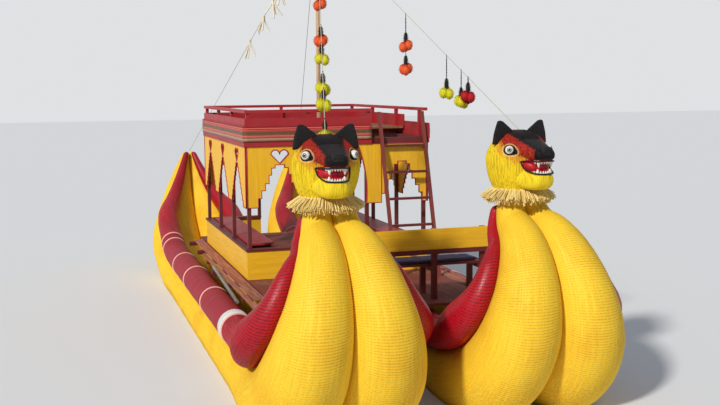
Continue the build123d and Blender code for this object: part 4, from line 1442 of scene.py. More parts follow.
@dataclass
class Heads:
    """The two animal heads on the necks, with their straw collars.

    A row of the muzzle, jaw, gullet, tongue or nose is one rounded section: how far
    ahead it is, the height of its middle, its half width and half height, and how
    square it is.
    """

    fringe: Tree
    axis: HullAxis = field(default_factory=HullAxis)
    sway: float = -0.035
    turned: tuple[tuple[Side, float], ...] = ((Side.STARBOARD, -2.0), (Side.PORT, 8.0))
    height: float = 0.72
    widest: float = 0.42
    radius: float = 0.33
    temple: float = 0.22
    neck: float = 0.245
    neck_height: float = 0.11
    reeds: int = 170
    reed_radius: float = 0.008
    muzzle: Rows = (
        (0.02, 0.570, 0.25, 0.085, 2.2), (0.12, 0.562, 0.222, 0.095, 2.3), (0.22, 0.542, 0.180, 0.10, 2.4),
        (0.32, 0.518, 0.145, 0.094, 2.5), (0.40, 0.500, 0.126, 0.082, 2.6), (0.46, 0.488, 0.114, 0.070, 2.7),
        (0.490, 0.484, 0.102, 0.056, 2.6), (0.503, 0.482, 0.078, 0.040, 2.4),
        (0.506, 0.480, 0.035, 0.018, 2.2),
    )
    jaw: Rows = (
        (0.10, 0.262, 0.235, 0.132, 2.3), (0.24, 0.248, 0.190, 0.125, 2.5), (0.33, 0.230, 0.153, 0.106, 2.8),
        (0.41, 0.222, 0.128, 0.092, 3.0), (0.455, 0.230, 0.112, 0.076, 3.0),
        (0.482, 0.240, 0.094, 0.055, 2.6), (0.490, 0.246, 0.05, 0.026, 2.2),
    )
    gullet: Rows = (
        (0.20, 0.390, 0.182, 0.080, 2.8), (0.320, 0.378, 0.150, 0.066, 2.8),
        (0.390, 0.364, 0.114, 0.058, 2.4), (0.41, 0.362, 0.05, 0.03, 2.2),
    )
    tongue: Rows = (
        (0.33, 0.345, 0.085, 0.020, 2.0), (0.38, 0.335, 0.080, 0.018, 2.0), (0.43, 0.326, 0.066, 0.014, 2.0),
        (0.455, 0.321, 0.044, 0.010, 2.0), (0.465, 0.318, 0.015, 0.005, 2.0),
    )
    nose_pad: Rows = (
        (0.440, 0.540, 0.060, 0.030, 3.0), (0.485, 0.532, 0.070, 0.040, 3.0),
        (0.508, 0.520, 0.066, 0.044, 3.0), (0.518, 0.514, 0.048, 0.032, 3.0),
        (0.521, 0.512, 0.020, 0.013, 3.0),
    )
    nostril: tuple[float, float, float] = (0.518, 0.030, 0.505)
    nostril_radius: float = 0.017
    nostril_depth: float = 0.010
    upper_lip: Rows = (
        (0.285, -0.168, 0.415), (0.34, -0.141, 0.427), (0.42, -0.120, 0.424), (0.478, -0.098, 0.424),
        (0.500, -0.05, 0.428), (0.504, 0.0, 0.428),
    )
    lower_lip: Rows = (
        (0.285, -0.168, 0.415), (0.305, -0.161, 0.365), (0.35, -0.146, 0.333), (0.42, -0.122, 0.312),
        (0.468, -0.100, 0.302), (0.486, -0.05, 0.298), (0.490, 0.0, 0.298),
    )
    lip_radius: float = 0.0075
    ear_inside: Rows = ((0.070, 0.640), (0.080, 0.712), (0.222, 0.820))
    ear_outside: Rows = ((0.335, 0.560), (0.318, 0.690), (0.276, 0.822))
    eye_radius: float = 0.043
    collar_foot: float = 0.125

    def place(self, side: Side) -> Matrix:
        """Find where a head stands, and the way it looks.

        Args:
            side: The hull that it stands on.

        Returns:
            Its place and turn.
        """
        station = self.axis.at(self.axis.ends[1])
        across = self.axis.middle(side, station) + self.sway
        spot = Matrix.Translation((station.x, across, station.z + 0.0003))
        return spot @ Matrix.Rotation(math.radians(dict(self.turned)[side]), 4, "Z")

    def profile(self) -> list[tuple[float, float]]:
        """Draw the outline of the reed ball from the neck to the crown.

        Returns:
            The radius and the height of each point.
        """
        inset = self.radius - self.temple
        rise = self.height - self.widest
        crown = (inset ** 2 + rise ** 2 - self.temple ** 2) / (2 * (rise - self.temple))
        crown_middle = self.height - crown
        turn = math.atan2(self.widest - crown_middle, inset)
        drop = self.widest - self.neck_height
        narrow = self.radius - self.neck
        jowl = (drop ** 2 + narrow ** 2) / (2 * narrow)
        outline = [(self.neck, 0.0), (self.neck, self.neck_height * 0.5)]
        for angle in steps(math.asin(drop / jowl), 0.0, 0.1):
            inward, down = jowl * (1 - math.cos(angle)), jowl * math.sin(angle)
            outline.append((self.radius - inward, self.widest - down))
        for angle in steps(0.0, turn, 0.15)[1:]:
            out, up = self.temple * math.cos(angle), self.temple * math.sin(angle)
            outline.append((inset + out, self.widest + up))
        for angle in steps(turn, math.pi / 2, 0.12)[1:]:
            outline.append((crown * math.cos(angle), crown_middle + crown * math.sin(angle)))
        return outline

    def reed_tree(self) -> Tree:
        """The tree that stands a reed on each meridian of the ball.

        Returns:
            The tree.
        """
        graph, given, leave = new_maker("reed_ball", "Line", [
            ("Reeds", WHOLE, 170), ("Reed radius", FLOAT, 0.008), ("Uneven", FLOAT, 0.012),
            ("Seed", WHOLE, 5),
        ])
        reed = graph.extruded(given["Line"], 6, given["Reed radius"], False)
        points = graph.out("GeometryNodePoints", {"Count": given["Reeds"]})
        place = graph.plus(graph.out("GeometryNodeInputIndex"), graph.random(-0.3, 0.3, given["Seed"]))
        turn = graph.math("DIVIDE", graph.times(place, 2 * math.pi), given["Reeds"])
        spread = graph.random(-1.0, 1.0, graph.plus(given["Seed"], 1.0))
        size = graph.times_plus(spread, given["Uneven"], 1.0)
        placed = graph.out("GeometryNodeInstanceOnPoints", {
            "Points": points, "Instance": reed, "Rotation": graph.combine(0.0, 0.0, turn),
            "Scale": graph.combine(size, size, 1.0),
        })
        shaded = graph.store(placed, "shade", graph.times_plus(spread, 0.5, 0.5), "INSTANCE")
        return graph.close(leave, shaded, given["Finish"], soft=True)

    def section(self, ahead: float, middle: float, half_width: float, half_height: float, power: float,
                count: int = 24) -> list[Vector]:
        """Draw one rounded section.

        Args:
            ahead: How far ahead it is.
            middle: The height of its middle.
            half_width: Half its width.
            half_height: Half its height.
            power: How square it is, 2 for an ellipse.
            count: How many points it has.

        Returns:
            The points in order.
        """
        ring = []
        for number in range(count):
            angle = 2 * math.pi * number / count
            across = math.copysign(abs(math.cos(angle)) ** (2 / power), math.cos(angle)) * half_width
            up = math.copysign(abs(math.sin(angle)) ** (2 / power), math.sin(angle)) * half_height
            ring.append(Vector((ahead, across, middle + up)))
        return ring

    def build(self) -> None:
        """Make both heads and both collars."""
        finishes = {
            "face": FacePaint(),
            "eye": EyePaint(),
            "black": GlossPaint("black_paint", paint(12, 10, 12), paint(30, 25, 26), 0.6, 40.0),
            "mouth": GlossPaint("mouth_red", paint(206, 24, 44), paint(150, 12, 28), 0.3, 12.0),
            "tooth": GlossPaint("tooth_white", paint(240, 238, 226), paint(214, 206, 188), 0.25, 25.0),
            "straw": Strands("straw", paint(255, 238, 170), paint(216, 180, 98)),
        }
        made = {name: finish.build() for name, finish in finishes.items()}
        tree = self.reed_tree()
        for side in Side:
            for piece, slot, nodes in self.reed_ball(side, tree, made["face"]) + self.face_parts(side, made):
                piece.data.transform(self.place(side))
                settle(piece, nodes)
            self.collar(side, made["straw"])

    def reed_ball(self, side: Side, tree: Tree, face: Material) -> list[Part]:
        """Make the ball of reeds: a closed core, and one reed on each meridian.

        Args:
            side: The hull that the head stands on.
            tree: The tree that stands the reeds.
            face: The material of both.

        Returns:
            The pieces, each with its slot and the nodes it stands for.
        """
        outline = self.profile()
        inset, least = self.reed_radius, 0.01
        rings = []
        for radius, height in outline[:-1]:
            inner = max(radius - inset, least)
            rings.append(circle(UP * height, AHEAD * inner, TO_PORT * inner, 64))
        core = loft(f"{side.label}_head_core", rings)
        smooth(core)
        put_material(core, face)
        tag(core, "shade", lambda spot: 0.5, "FLOAT")
        line = [Vector((radius - inset, 0.0, height)) for radius, height in outline if radius > 0.05]
        reeds = run_nodes(line_object(f"{side.label}_head_line", line), tree, {
            "Reeds": self.reeds, "Reed radius": self.reed_radius, "Seed": 5 + side.value, "Finish": face,
        }, f"{side.label}_head_reeds")
        for piece in (core, reeds):
            tag(piece, "local", lambda spot: spot)
        return [(core, "reed", [f"{side.label}_head"]), (reeds, "reed", [f"{side.label}_head"])]

    def face_parts(self, side: Side, finishes: dict[str, Material]) -> list[Part]:
        """Make muzzle, jaw, mouth, teeth, lips, nose, eyes and ears of one head.

        Args:
            side: The hull that the head stands on.
            finishes: The materials by name.

        Returns:
            The pieces, each with its slot and the nodes it stands for.
        """
        label = side.label
        muzzle = loft(f"{label}_muzzle", [self.section(*row) for row in self.muzzle], rounded=True)
        tag(muzzle, "local", lambda spot: spot)
        tag(muzzle, "shade", lambda spot: 0.4, "FLOAT")
        jaw = loft(f"{label}_jaw", [self.section(*row) for row in self.jaw], rounded=True)
        tag(jaw, "local", lambda spot: Vector((min(spot.x, 0.2), spot.y, min(spot.z, 0.38))))
        tag(jaw, "shade", lambda spot: 0.3, "FLOAT")
        gullet = loft(f"{label}_gullet", [self.section(*row) for row in self.gullet], rounded=True)
        tongue = loft(f"{label}_tongue", [self.section(*row) for row in self.tongue], rounded=True)
        table = [
            (muzzle, "face", "reed", [f"{label}_head"]), (jaw, "face", "reed", ["jaws"]),
            (gullet, "mouth", "jaw_red", []), (tongue, "mouth", "jaw_red", []),
            (self.teeth(label), "tooth", "eye_white", []), (self.lips(label), "black", "ear_dark", []),
            (self.nose(label), "black", "ear_dark", []),
        ]
        for sign, place in ((-1, "right"), (1, "left")):
            table.append((self.ear(f"{label}_{place}_ear", sign), "black", "ear_dark", ["ears"]))
            table.append((self.eye(f"{label}_{place}_eye", sign), "eye", "eye_white", ["eyes"]))
        for piece, finish, _, _ in table:
            put_material(piece, finishes[finish])
            smooth(piece)
        return [(piece, slot, nodes) for piece, _, slot, nodes in table]

    def teeth(self, label: str) -> Piece:
        """Make two rows of pointed teeth, with longer fangs near the corners.

        Args:
            label: The name of the hull.

        Returns:
            All teeth of one head as one piece.
        """
        rows = []
        for step in range(-4, 5):
            fang = abs(step) == 3
            ahead, across = 0.488 - 0.0034 * step ** 2, 0.0245 * step
            size = 0.023 if fang else 0.014
            rows.append((ahead, across, 0.432, size, -0.070 if fang else -0.036))
            rows.append((ahead - 0.014, across, 0.296, size, 0.054 if fang else 0.034))
        levels = ((0.0, 1.0), (0.45, 0.82), (0.8, 0.42), (1.0, 0.08))
        corners = 10
        points: list[Vector] = []
        faces: list[list[int]] = []
        for ahead, across, height, radius, reach in rows:
            faces += loft_faces(len(levels), corners, len(points))
            for share, width in levels:
                wide = radius * width
                middle = Vector((ahead, across, height + reach * share))
                points += circle(middle, AHEAD * (wide * 0.75), TO_PORT * wide, corners)
        piece = mesh_object(f"{label}_teeth", points, faces)
        outward(piece)
        return piece

    def lips(self, label: str) -> Piece:
        """Make the dark lips, which run from the corners of the mouth round its front.

        Args:
            label: The name of the hull.

        Returns:
            Both lips as one piece.
        """
        curve = bpy.data.curves.new(f"{label}_lips_curve", "CURVE")
        curve.dimensions = "3D"
        curve.bevel_depth = self.lip_radius
        curve.bevel_resolution = 3
        curve.use_fill_caps = True
        for half in (self.upper_lip, self.lower_lip):
            whole = [*half, *((x, -y, z) for x, y, z in half[-2::-1])]
            spline = curve.splines.new("NURBS")
            spline.points.add(len(whole) - 1)
            for point, spot in zip(spline.points, whole):
                point.co = (*spot, 1.0)
            spline.order_u = 3
            spline.use_endpoint_u = True
            spline.resolution_u = 6
        return bake(linked(f"{label}_lips_source", curve), f"{label}_lips")

    def nose(self, label: str) -> Piece:
        """Make the nose pad at the tip of the muzzle, with two dents for nostrils.

        Args:
            label: The name of the hull.

        Returns:
            The nose pad.
        """
        piece = loft(f"{label}_nose", [self.section(*row, 28) for row in self.nose_pad], rounded=True)
        x, y, z = self.nostril
        for vertex in piece.data.vertices:
            for sign in (-1, 1):
                gap = (vertex.co - Vector((x, sign * y, z))).length
                vertex.co.x -= self.nostril_depth * max(0.0, 1 - gap / self.nostril_radius)
        return piece

    def ear(self, name: str, sign: int) -> Piece:
        """Make one upright ear, hollow in front and thin at its tip.

        Args:
            name: The piece's name.
            sign: The sign of its Y.

        Returns:
            The ear.
        """
        inside = [Vector(point) for point in self.ear_inside]
        outside = [Vector(point) for point in self.ear_outside]
        rows, count = 9, 24
        rings = []
        for row in range(rows):
            share = row / (rows - 1)
            part, left = (0, share * 2) if share < 0.5 else (1, share * 2 - 1)
            low = inside[part].lerp(inside[part + 1], left)
            high = outside[part].lerp(outside[part + 1], left)
            thick = 0.026 * (1 - share) + 0.010
            ring = []
            for number in range(count):
                angle = 2 * math.pi * number / count
                slide = 0.5 - 0.5 * math.cos(angle)
                flat = low.lerp(high, slide)
                cup = 0.030 * (1 - share) * math.sin(math.pi * slide)
                depth = thick * math.sin(angle) - (cup if math.sin(angle) > 0 else cup * 0.5)
                ring.append(Vector((0.018 + depth + 0.01 * share, sign * flat.x, flat.y)))
            rings.append(ring)
        return loft(name, rings, rounded=True)

    def eye(self, name: str, sign: int) -> Piece:
        """Make one round eye that looks ahead and a little outward.

        Args:
            name: The piece's name.
            sign: The sign of its Y.

        Returns:
            The eye, with the angle from its pupil stored at each vertex.
        """
        x, y, z = FacePaint.eye
        middle = Vector((x, sign * y, z))
        look = Vector((0.80, sign * 0.58, 0.06)).normalized()
        side = look.cross(UP).normalized()
        axes = [axis * self.eye_radius for axis in (side, side.cross(look), look)]
        piece = ball(name, middle, axes, 25, 32, 0.02)

        def off_pupil(spot: Vector) -> float:
            """The angle from the pupil, 1 at a right angle."""
            facing = (spot - middle).normalized().dot(look)
            return math.acos(max(-1.0, min(1.0, facing))) / math.pi * 2

        tag(piece, "look", off_pupil, "FLOAT")
        return piece

    def collar(self, side: Side, straw: Material) -> None:
        """Make the collar: two layers of cut straw under a tied cord.

        Args:
            side: The hull that the head stands on.
            straw: The material.
        """
        station = self.axis.at(self.axis.ends[1])
        across = self.axis.middle(side, station) + self.sway
        spot = Vector((station.x, across, station.z + self.collar_foot))
        # Columns: layer, radius of its ring, then the way out and up of each point of a blade.
        layers = [
            ("under", 0.238, [(0.0, 0.0), (0.040, -0.055), (0.080, -0.145)]),
            ("over", 0.244, [(0.0, 0.0), (0.062, -0.045), (0.128, -0.105)]),
        ]
        for layer, radius, points in layers:
            line = [Vector((out, 0.0, up)) for out, up in points]
            piece = run_nodes(line_object(f"{side.label}_{layer}_line", line), self.fringe, {
                "Blades": 300, "Blade radius": 0.0045, "Ring radius": radius, "Seed": 11 + 3 * side.value,
                "Finish": straw,
            }, f"{side.label}_collar_{layer}")
            piece.data.transform(Matrix.Translation(spot))
            settle(piece, [f"{side.label}_collar"])
        turns = [(spot + UP * (0.012 * turn - 0.008), 0.250 - 0.003 * turn, AHEAD) for turn in range(3)]
        tie = cord_turns(f"{side.label}_collar_tie", turns, 0.008)
        put_material(tie, straw)
        tag(tie, "shade", lambda place: 0.1, "FLOAT")
        outward(tie)
        smooth(tie)
        settle(tie)


@dataclass
class Timber:
    """The boat's boards, posts and rails, which keep their CAD shape and get their finishes."""

    nodes: dict[str, Piece]
    bead_radius: float = 0.009

    def build(self) -> None:
        """Dress each CAD node of wood, and bead the cut edges of the panels."""
        maroon, worn = paint(104, 14, 22), paint(92, 60, 48)
        red, worn_red = paint(172, 14, 34), paint(190, 96, 80)
        yellow, worn_yellow = paint(255, 196, 26), paint(214, 176, 96)
        edge = paint(178, 48, 32)
        along, across, upright = Grain.FORE_AND_AFT, Grain.ACROSS, Grain.UPRIGHT
        side_panels = ("starboard_panel", "port_panel")
        end_panels = ("front_panel", "door_panel", "ladder_panel", "rear_panels")
        # Columns: the finish, then the CAD nodes that take it.
        table = [
            (PaintedWood("yellow_along", yellow, worn_yellow, along, 0.12, 0.42),
             ("starboard_skirt", "port_skirt")),
            (PaintedWood("yellow_across", yellow, worn_yellow, across, 0.12, 0.42),
             ("front_skirt", "rear_skirt", "backrest")),
            (PaintedWood("yellow_side_cut", yellow, worn_yellow, upright, 0.1, 0.42, edge, 1), side_panels),
            (PaintedWood("yellow_end_cut", yellow, worn_yellow, upright, 0.1, 0.42, edge, 0), end_panels),
            (PaintedWood("maroon_up", maroon, worn, upright, 0.25, 0.45),
             ("cabin_posts", "bench_frame", "cabin_seat_supports")),
            (PaintedWood("maroon_any", maroon, worn, Grain.ANY, 0.25, 0.45),
             ("deck_bearers", "skirt_caps", "top_plates", "joists", "ladder_rungs", "mast_step",
              "backrest_rail", "bench_seat")),
            (PaintedWood("red_any", red, worn_red, Grain.ANY, 0.18, 0.42),
             ("front_fascia", "rear_fascia", "kickboards", "rail_posts", "rail_caps")),
            (PaintedWood("red_along", red, worn_red, along, 0.18, 0.42),
             ("starboard_fascia", "port_fascia", "cabin_seats")),
            (PaintedWood("ladder_paint", paint(128, 48, 46), paint(120, 84, 72), upright, 0.55, 0.6),
             ("ladder_stiles",)),
            (PaintedWood("deck_paint", paint(128, 52, 40), paint(150, 112, 84), along, 0.6, 0.7),
             ("deck_planks",)),
            (BareWood("floor_wood", paint(170, 120, 82), paint(112, 70, 46), along), ("upper_floor",)),
            (BareWood("plank_wood", paint(200, 132, 108), paint(138, 78, 62), along), ("side_planks",)),
            (BareWood("grey_pole", paint(168, 160, 150), paint(110, 104, 98), along), ("boat_pole",)),
            (BareWood("mast_wood", paint(220, 188, 150), paint(168, 130, 98), upright, 0.6), ("mast",)),
            (Strands("stay_cord", paint(206, 196, 176), paint(150, 138, 118)), ("forestays", "backstays")),
        ]
        made = {}
        for finish, nodes in table:
            made[finish.name] = finish.build()
            for node in nodes:
                put_material(self.nodes[node], made[finish.name])
                LOG.info("dressed %s with %s", node, finish.name)
        tree = self.edging_tree()
        for node in side_panels + end_panels:
            self.edging(node, tree, made["red_any"])

    def edging_tree(self) -> Tree:
        """The tree that runs a thin round bead along loose edges.

        Returns:
            The tree.
        """
        graph, given, leave = new_maker("edging", "Line", [("Bead radius", FLOAT, 0.006)])
        bead = graph.extruded(given["Line"], 6, given["Bead radius"], True)
        return graph.close(leave, bead, given["Finish"])

    def edging(self, node: str, tree: Tree, finish: Material) -> None:
        """Run a painted bead round the outer face of one panel, by its cut edges.

        Args:
            node: The panel's CAD node.
            tree: The tree that runs the bead.
            finish: The bead's material.
        """
        mesh = self.nodes[node].data
        low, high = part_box(node)
        axis = min(range(2), key=lambda number: high[number] - low[number])
        cabin_middle = CABIN_FRONT - CABIN_LENGTH / 2 if axis == 0 else 0.0
        outer = high[axis] if high[axis] > cabin_middle else low[axis]
        used: dict[tuple[int, int], int] = {}
        for face in mesh.polygons:
            if abs(face.normal[axis]) > 0.9 and abs(face.center[axis] - outer) < 1e-4:
                for key in face.edge_keys:
                    used[key] = used.get(key, 0) + 1
        edges = [key for key, count in used.items() if count == 1]
        corners = sorted({corner for key in edges for corner in key})
        numbers = {old: new for new, old in enumerate(corners)}
        line = mesh_object(node + "_line", [mesh.vertices[old].co for old in corners], [],
                           [(numbers[first], numbers[second]) for first, second in edges])
        values = {"Bead radius": self.bead_radius, "Finish": finish}
        settle(run_nodes(line, tree, values, node + "_edging"))


@dataclass
class WovenBands:
    """The striped cloth on the boards round the upper deck."""

    low: float = DECK + 1.79
    high: float = DECK + 1.985
    half_width: float = 1.2728
    front: float = CABIN_FRONT + 0.0232
    back: float = CABIN_FRONT - CABIN_LENGTH - 0.0232
    front_end: float = 0.45
    grid: float = 0.06
    wave: float = 0.0016
    thickness: float = 0.0022

    def build(self) -> None:
        """Make the four lengths of cloth, each a sheet with a slight wave."""
        coral, red = paint(220, 84, 72), paint(178, 26, 36)
        dark, pink = paint(64, 18, 22), paint(240, 150, 126)
        brown, ash, olive = paint(146, 98, 78), paint(186, 142, 118), paint(164, 124, 84)
        # The dark stripe from 0.97, along the top of the cloth, is painted shadow under the rail's bottom
        # board; the other dark stripes are woven.
        stripes = (
            (0.0, dark), (0.03, brown), (0.12, ash), (0.155, brown), (0.26, dark), (0.28, red), (0.31, pink),
            (0.33, red), (0.375, pink), (0.395, coral), (0.44, dark), (0.46, olive), (0.69, dark),
            (0.70, coral), (0.73, red), (0.77, pink), (0.79, red), (0.86, coral), (0.89, pink), (0.91, red),
            (0.97, dark),
        )
        figured = ((0.48, 0.68, paint(66, 38, 30)), (0.165, 0.25, paint(206, 168, 130)))
        finish = StripedCloth("woven_stripes", stripes, figured).build()
        front_starboard = Vector((self.front, -self.half_width, 0))
        front_port = Vector((self.front, self.half_width, 0))
        back_starboard = Vector((self.back, -self.half_width, 0))
        back_port = Vector((self.back, self.half_width, 0))
        self.cloth("front_woven_band", front_starboard, Vector((self.front, self.front_end, 0)), finish)
        self.cloth("starboard_woven_band", back_starboard, front_starboard, finish)
        self.cloth("port_woven_band", front_port, back_port, finish)
        self.cloth("rear_woven_band", back_port, back_starboard, finish)

    def cloth(self, name: str, start: Vector, end: Vector, finish: Material) -> None:
        """Make one length of cloth.

        Args:
            name: The piece's name.
            start: Where it starts, seen from outside.
            end: Where it ends.
            finish: Its material.
        """
        run = end - start
        out = Vector((run.y, -run.x, 0)).normalized()
        columns, rows = max(8, round(run.length / self.grid)), 8
        height = self.high - self.low
        points, flat = [], []
        for column in range(columns + 1):
            share = column / columns
            for row in range(rows + 1):
                up = row / rows
                fixed = math.sin(math.pi * min(1, up + 0.15))
                bulge = self.wave * (1 + math.sin(share * run.length * 7.0 + 3 * up)) * fixed
                points.append(start + run * share + out * bulge + UP * (self.low + height * up))
                flat.append((share * run.length, up))
        piece = mesh_object(name + "_flat", points, grid_faces(columns, rows))
        lay_map(piece, flat)
        put_material(piece, finish)
        solid = piece.modifiers.new("thickness", "SOLIDIFY")
        solid.thickness = self.thickness
        solid.offset = 1.0
        piece = bake(piece, name)
        smooth(piece)
        settle(piece, ["textile_bands"])


@dataclass
class Rigging:
    """Tufts of yarn on the forestays and bunches of reed sticks on the starboard backstay."""

    nodes: dict[str, Piece]
    fringe: Tree
    stay_end: float = 0.06
    ball_radii: tuple[float, float, float] = (0.044, 0.044, 0.052)
    ball_reach: float = 0.038
    stick_shares: tuple[float, ...] = (0.215, 0.265, 0.33, 0.43)

    def build(self) -> None:
        """Hang the tufts and the bunches."""
        tree = self.tuft_tree()
        colours = {
            "orange": (paint(246, 120, 66), paint(214, 78, 40)),
            "yellow": (paint(236, 232, 50), paint(196, 186, 30)),
            "red": (paint(206, 40, 48), paint(150, 20, 30)),
            "black": (paint(24, 26, 24), paint(50, 48, 40)),
        }
        yarns = {name: Strands(f"{name}_yarn", *shades).build() for name, shades in colours.items()}
        # Columns: hull, share of the way down the stay, how far it hangs, colour.
        tufts = [
            (Side.STARBOARD, 0.39, 0.16, "orange"), (Side.STARBOARD, 0.565, 0.16, "orange"),
            (Side.STARBOARD, 0.645, 0.16, "yellow"), (Side.STARBOARD, 0.77, 0.16, "yellow"),
            (Side.STARBOARD, 0.835, 0.16, "yellow"), (Side.STARBOARD, 0.95, 0.16, "yellow"),
            (Side.PORT, 0.505, 0.36, "orange"), (Side.PORT, 0.505, 0.63, "orange"),
            (Side.PORT, 0.70, 0.40, "yellow"), (Side.PORT, 0.765, 0.33, "yellow"),
            (Side.PORT, 0.795, 0.20, "red"),
        ]
        for number, (side, share, hang, colour) in enumerate(tufts):
            spot = self.on_stay("forestays", side, share)
            name = f"{side.label}_tuft_{number}"
            self.tuft(name, number + 1, tree, spot, hang, yarns[colour], yarns["black"])
        reed = Strands("reed_stick", paint(250, 244, 226), paint(224, 208, 170)).build()
        for number, share in enumerate(self.stick_shares):
            line = [Vector((0.0, 0.0, 0.03)), Vector((0.01, 0.0, -0.05)), Vector((0.10, 0.0, -0.24))]
            bunch = run_nodes(line_object(f"sticks_{number}_line", line), self.fringe, {
                "Blades": 4, "Blade radius": 0.011, "Ring radius": 0.012, "Seed": number, "Finish": reed,
            }, f"reed_sticks_{number}")
            bunch.data.transform(Matrix.Translation(self.on_stay("backstays", Side.STARBOARD, share)))
            settle(bunch)

    def on_stay(self, node: str, side: Side, share: float) -> Vector:
        """Find a place on a stay.

        Args:
            node: The CAD node of the pair of stays.
            side: The hull that the stay comes down to.
            share: The share of the way from the masthead to its foot.

        Returns:
            The place.
        """
        top = self.masthead()
        outboard = [vertex.co for vertex in self.nodes[node].data.vertices if vertex.co.y * side.value > 0.5]
        foot = max(outboard, key=lambda point: abs(point.x - top.x))
        return top.lerp(foot, share)

    def masthead(self) -> Vector:
        """The top of the mast, where the stays meet."""
        low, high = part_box("mast")
        return Vector(((low.x + high.x) / 2, (low.y + high.y) / 2, high.z - self.stay_end))

    def tuft_tree(self) -> Tree:
        """The tree that bristles a ball with strands of yarn.

        Returns:
            The tree.
        """
        graph, given, leave = new_maker("yarn_tuft", "Geometry", [
            ("Strand length", FLOAT, 0.03), ("Strand radius", FLOAT, 0.005), ("Seed", WHOLE, 1),
        ])
        strand = graph.out("GeometryNodeMeshCone", {
            "Vertices": 4, "Radius Top": 0.0008, "Radius Bottom": given["Strand radius"],
            "Depth": given["Strand length"],
        }, fill_type="NONE")
        number = graph.out("GeometryNodeInputIndex")
        lean = graph.out("FunctionNodeRandomValue", {
            0: (-0.45, -0.45, -0.45), 1: (0.45, 0.45, 0.45), "ID": number, "Seed": given["Seed"],
        }, data_type="FLOAT_VECTOR")
        heading = graph.vector("ADD", graph.out("GeometryNodeInputNormal"), lean)
        rotation = graph.out("FunctionNodeAlignRotationToVector", {"Vector": heading}, axis="Z")
        size = graph.random(0.6, 1.25, graph.plus(given["Seed"], 1.0))
        placed = graph.out("GeometryNodeInstanceOnPoints", {
            "Points": given["Geometry"], "Instance": strand, "Rotation": rotation,
            "Scale": graph.combine(1.0, 1.0, size),
        })
        joined = graph.node("GeometryNodeJoinGeometry")
        graph.feed(joined.inputs[0], given["Geometry"])
        graph.feed(joined.inputs[0], graph.store(placed, "shade", size, "INSTANCE"))
        return graph.close(leave, joined.outputs[0], given["Finish"])

    def tuft(self, name: str, number: int, tree: Tree, spot: Vector, hang: float, yarn: Material,
             black: Material) -> None:
        """Make one tuft: three balls of yarn under a dark cap, hung from the stay by a black cord.

        Args:
            name: The piece's name.
            number: Its number, which turns it and seeds its strands.
            tree: The tree that bristles a ball.
            spot: Where it hangs on the stay.
            hang: How far it hangs below the stay.
            yarn: The material of the balls.
            black: The material of the cap and the cord.
        """
        low = spot - UP * hang
        parts = [
            ("cap", low + UP * 0.075, (0.022, 0.022, 0.065), 0.012, black),
            ("cord", (spot + low) / 2 + UP * 0.05, (0.005, 0.005, hang / 2 - 0.04), 0.004, black),
        ]
        for part in range(3):
            angle = 2 * math.pi * part / 3 + number
            out = AHEAD * math.cos(angle) + TO_PORT * math.sin(angle)
            middle = low + out * self.ball_reach - UP * (0.012 * part)
            parts.append((f"ball_{part}", middle, self.ball_radii, 0.012, yarn))
        for label, middle, (length, width, height), strand, finish in parts:
            axes = (AHEAD * length, TO_PORT * width, UP * height)
            core = ball(f"{name}_{label}_core", middle, axes, 15, 22, 0.15)
            piece = run_nodes(core, tree, {
                "Strand length": strand, "Strand radius": 0.0035, "Seed": 7 * number + len(label),
                "Finish": finish,
            }, f"{name}_{label}")
            settle(piece)


@dataclass
class BowBench:
    """The pad on the bow bench: how far it draws in, and how its channels are sewn."""

    columns: int = 96
    rows: int = 18
    channels: float = 3.5
    channel_depth: float = 0.35
    channel_width: float = 0.06
    sides_at: float = 0.75

    def build(self) -> None:
        """Make the pad: a crowned closed form with piped edges and sewn channels."""
        low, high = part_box("bench_cushion")
        middle, half = (low + high) / 2, (high - low) / 2
        foot = low.z + half.z * self.sides_at
        top, bottom = [], []
        for column in range(self.columns + 1):
            u = column / self.columns * 2 - 1
            sewn = (math.fmod((u + 1) * self.channels, 1.0) - 0.5) / self.channel_width
            channel = 1 - self.channel_depth * math.exp(-sewn ** 2)
            for row in range(self.rows + 1):
                v = row / self.rows * 2 - 1
                inside = max((1 - abs(u) ** 14) * (1 - abs(v) ** 5), 0.0)
                pull = 1 - 0.012 * (1 - abs(v)) * abs(u) ** 8
                x, y = middle.x + half.x * v * 0.985, middle.y + half.y * u * pull * 0.995
                top.append(Vector((x, y, foot + half.z * (0.25 + 0.75 * inside ** 0.45 * channel))))
                bottom.append(Vector((x, y, low.z + half.z * self.sides_at * (1 - inside ** 0.3))))
        faces = grid_faces(self.columns, self.rows)
        offset, stride = len(top), self.rows + 1
        faces += [[offset + corner for corner in reversed(quad)] for quad in faces]
        last = self.columns * stride
        border = [*range(0, last, stride), *range(last, last + self.rows),
                  *range(last + self.rows, self.rows, -stride), *range(self.rows, 0, -1)]
        for first, second in zip(border, border[1:] + border[:1]):
            faces.append([first, second, offset + second, offset + first])
        piece = mesh_object("bench_pad", top + bottom, faces)
        outward(piece)
        lay_map(piece, [(vertex.co.y, vertex.co.x) for vertex in piece.data.vertices])
        put_material(piece, PlainCloth("pad_cloth", paint(62, 52, 96), 160.0, 0.85).build())
        smooth(piece)
        settle(piece, ["bench_cushion"])


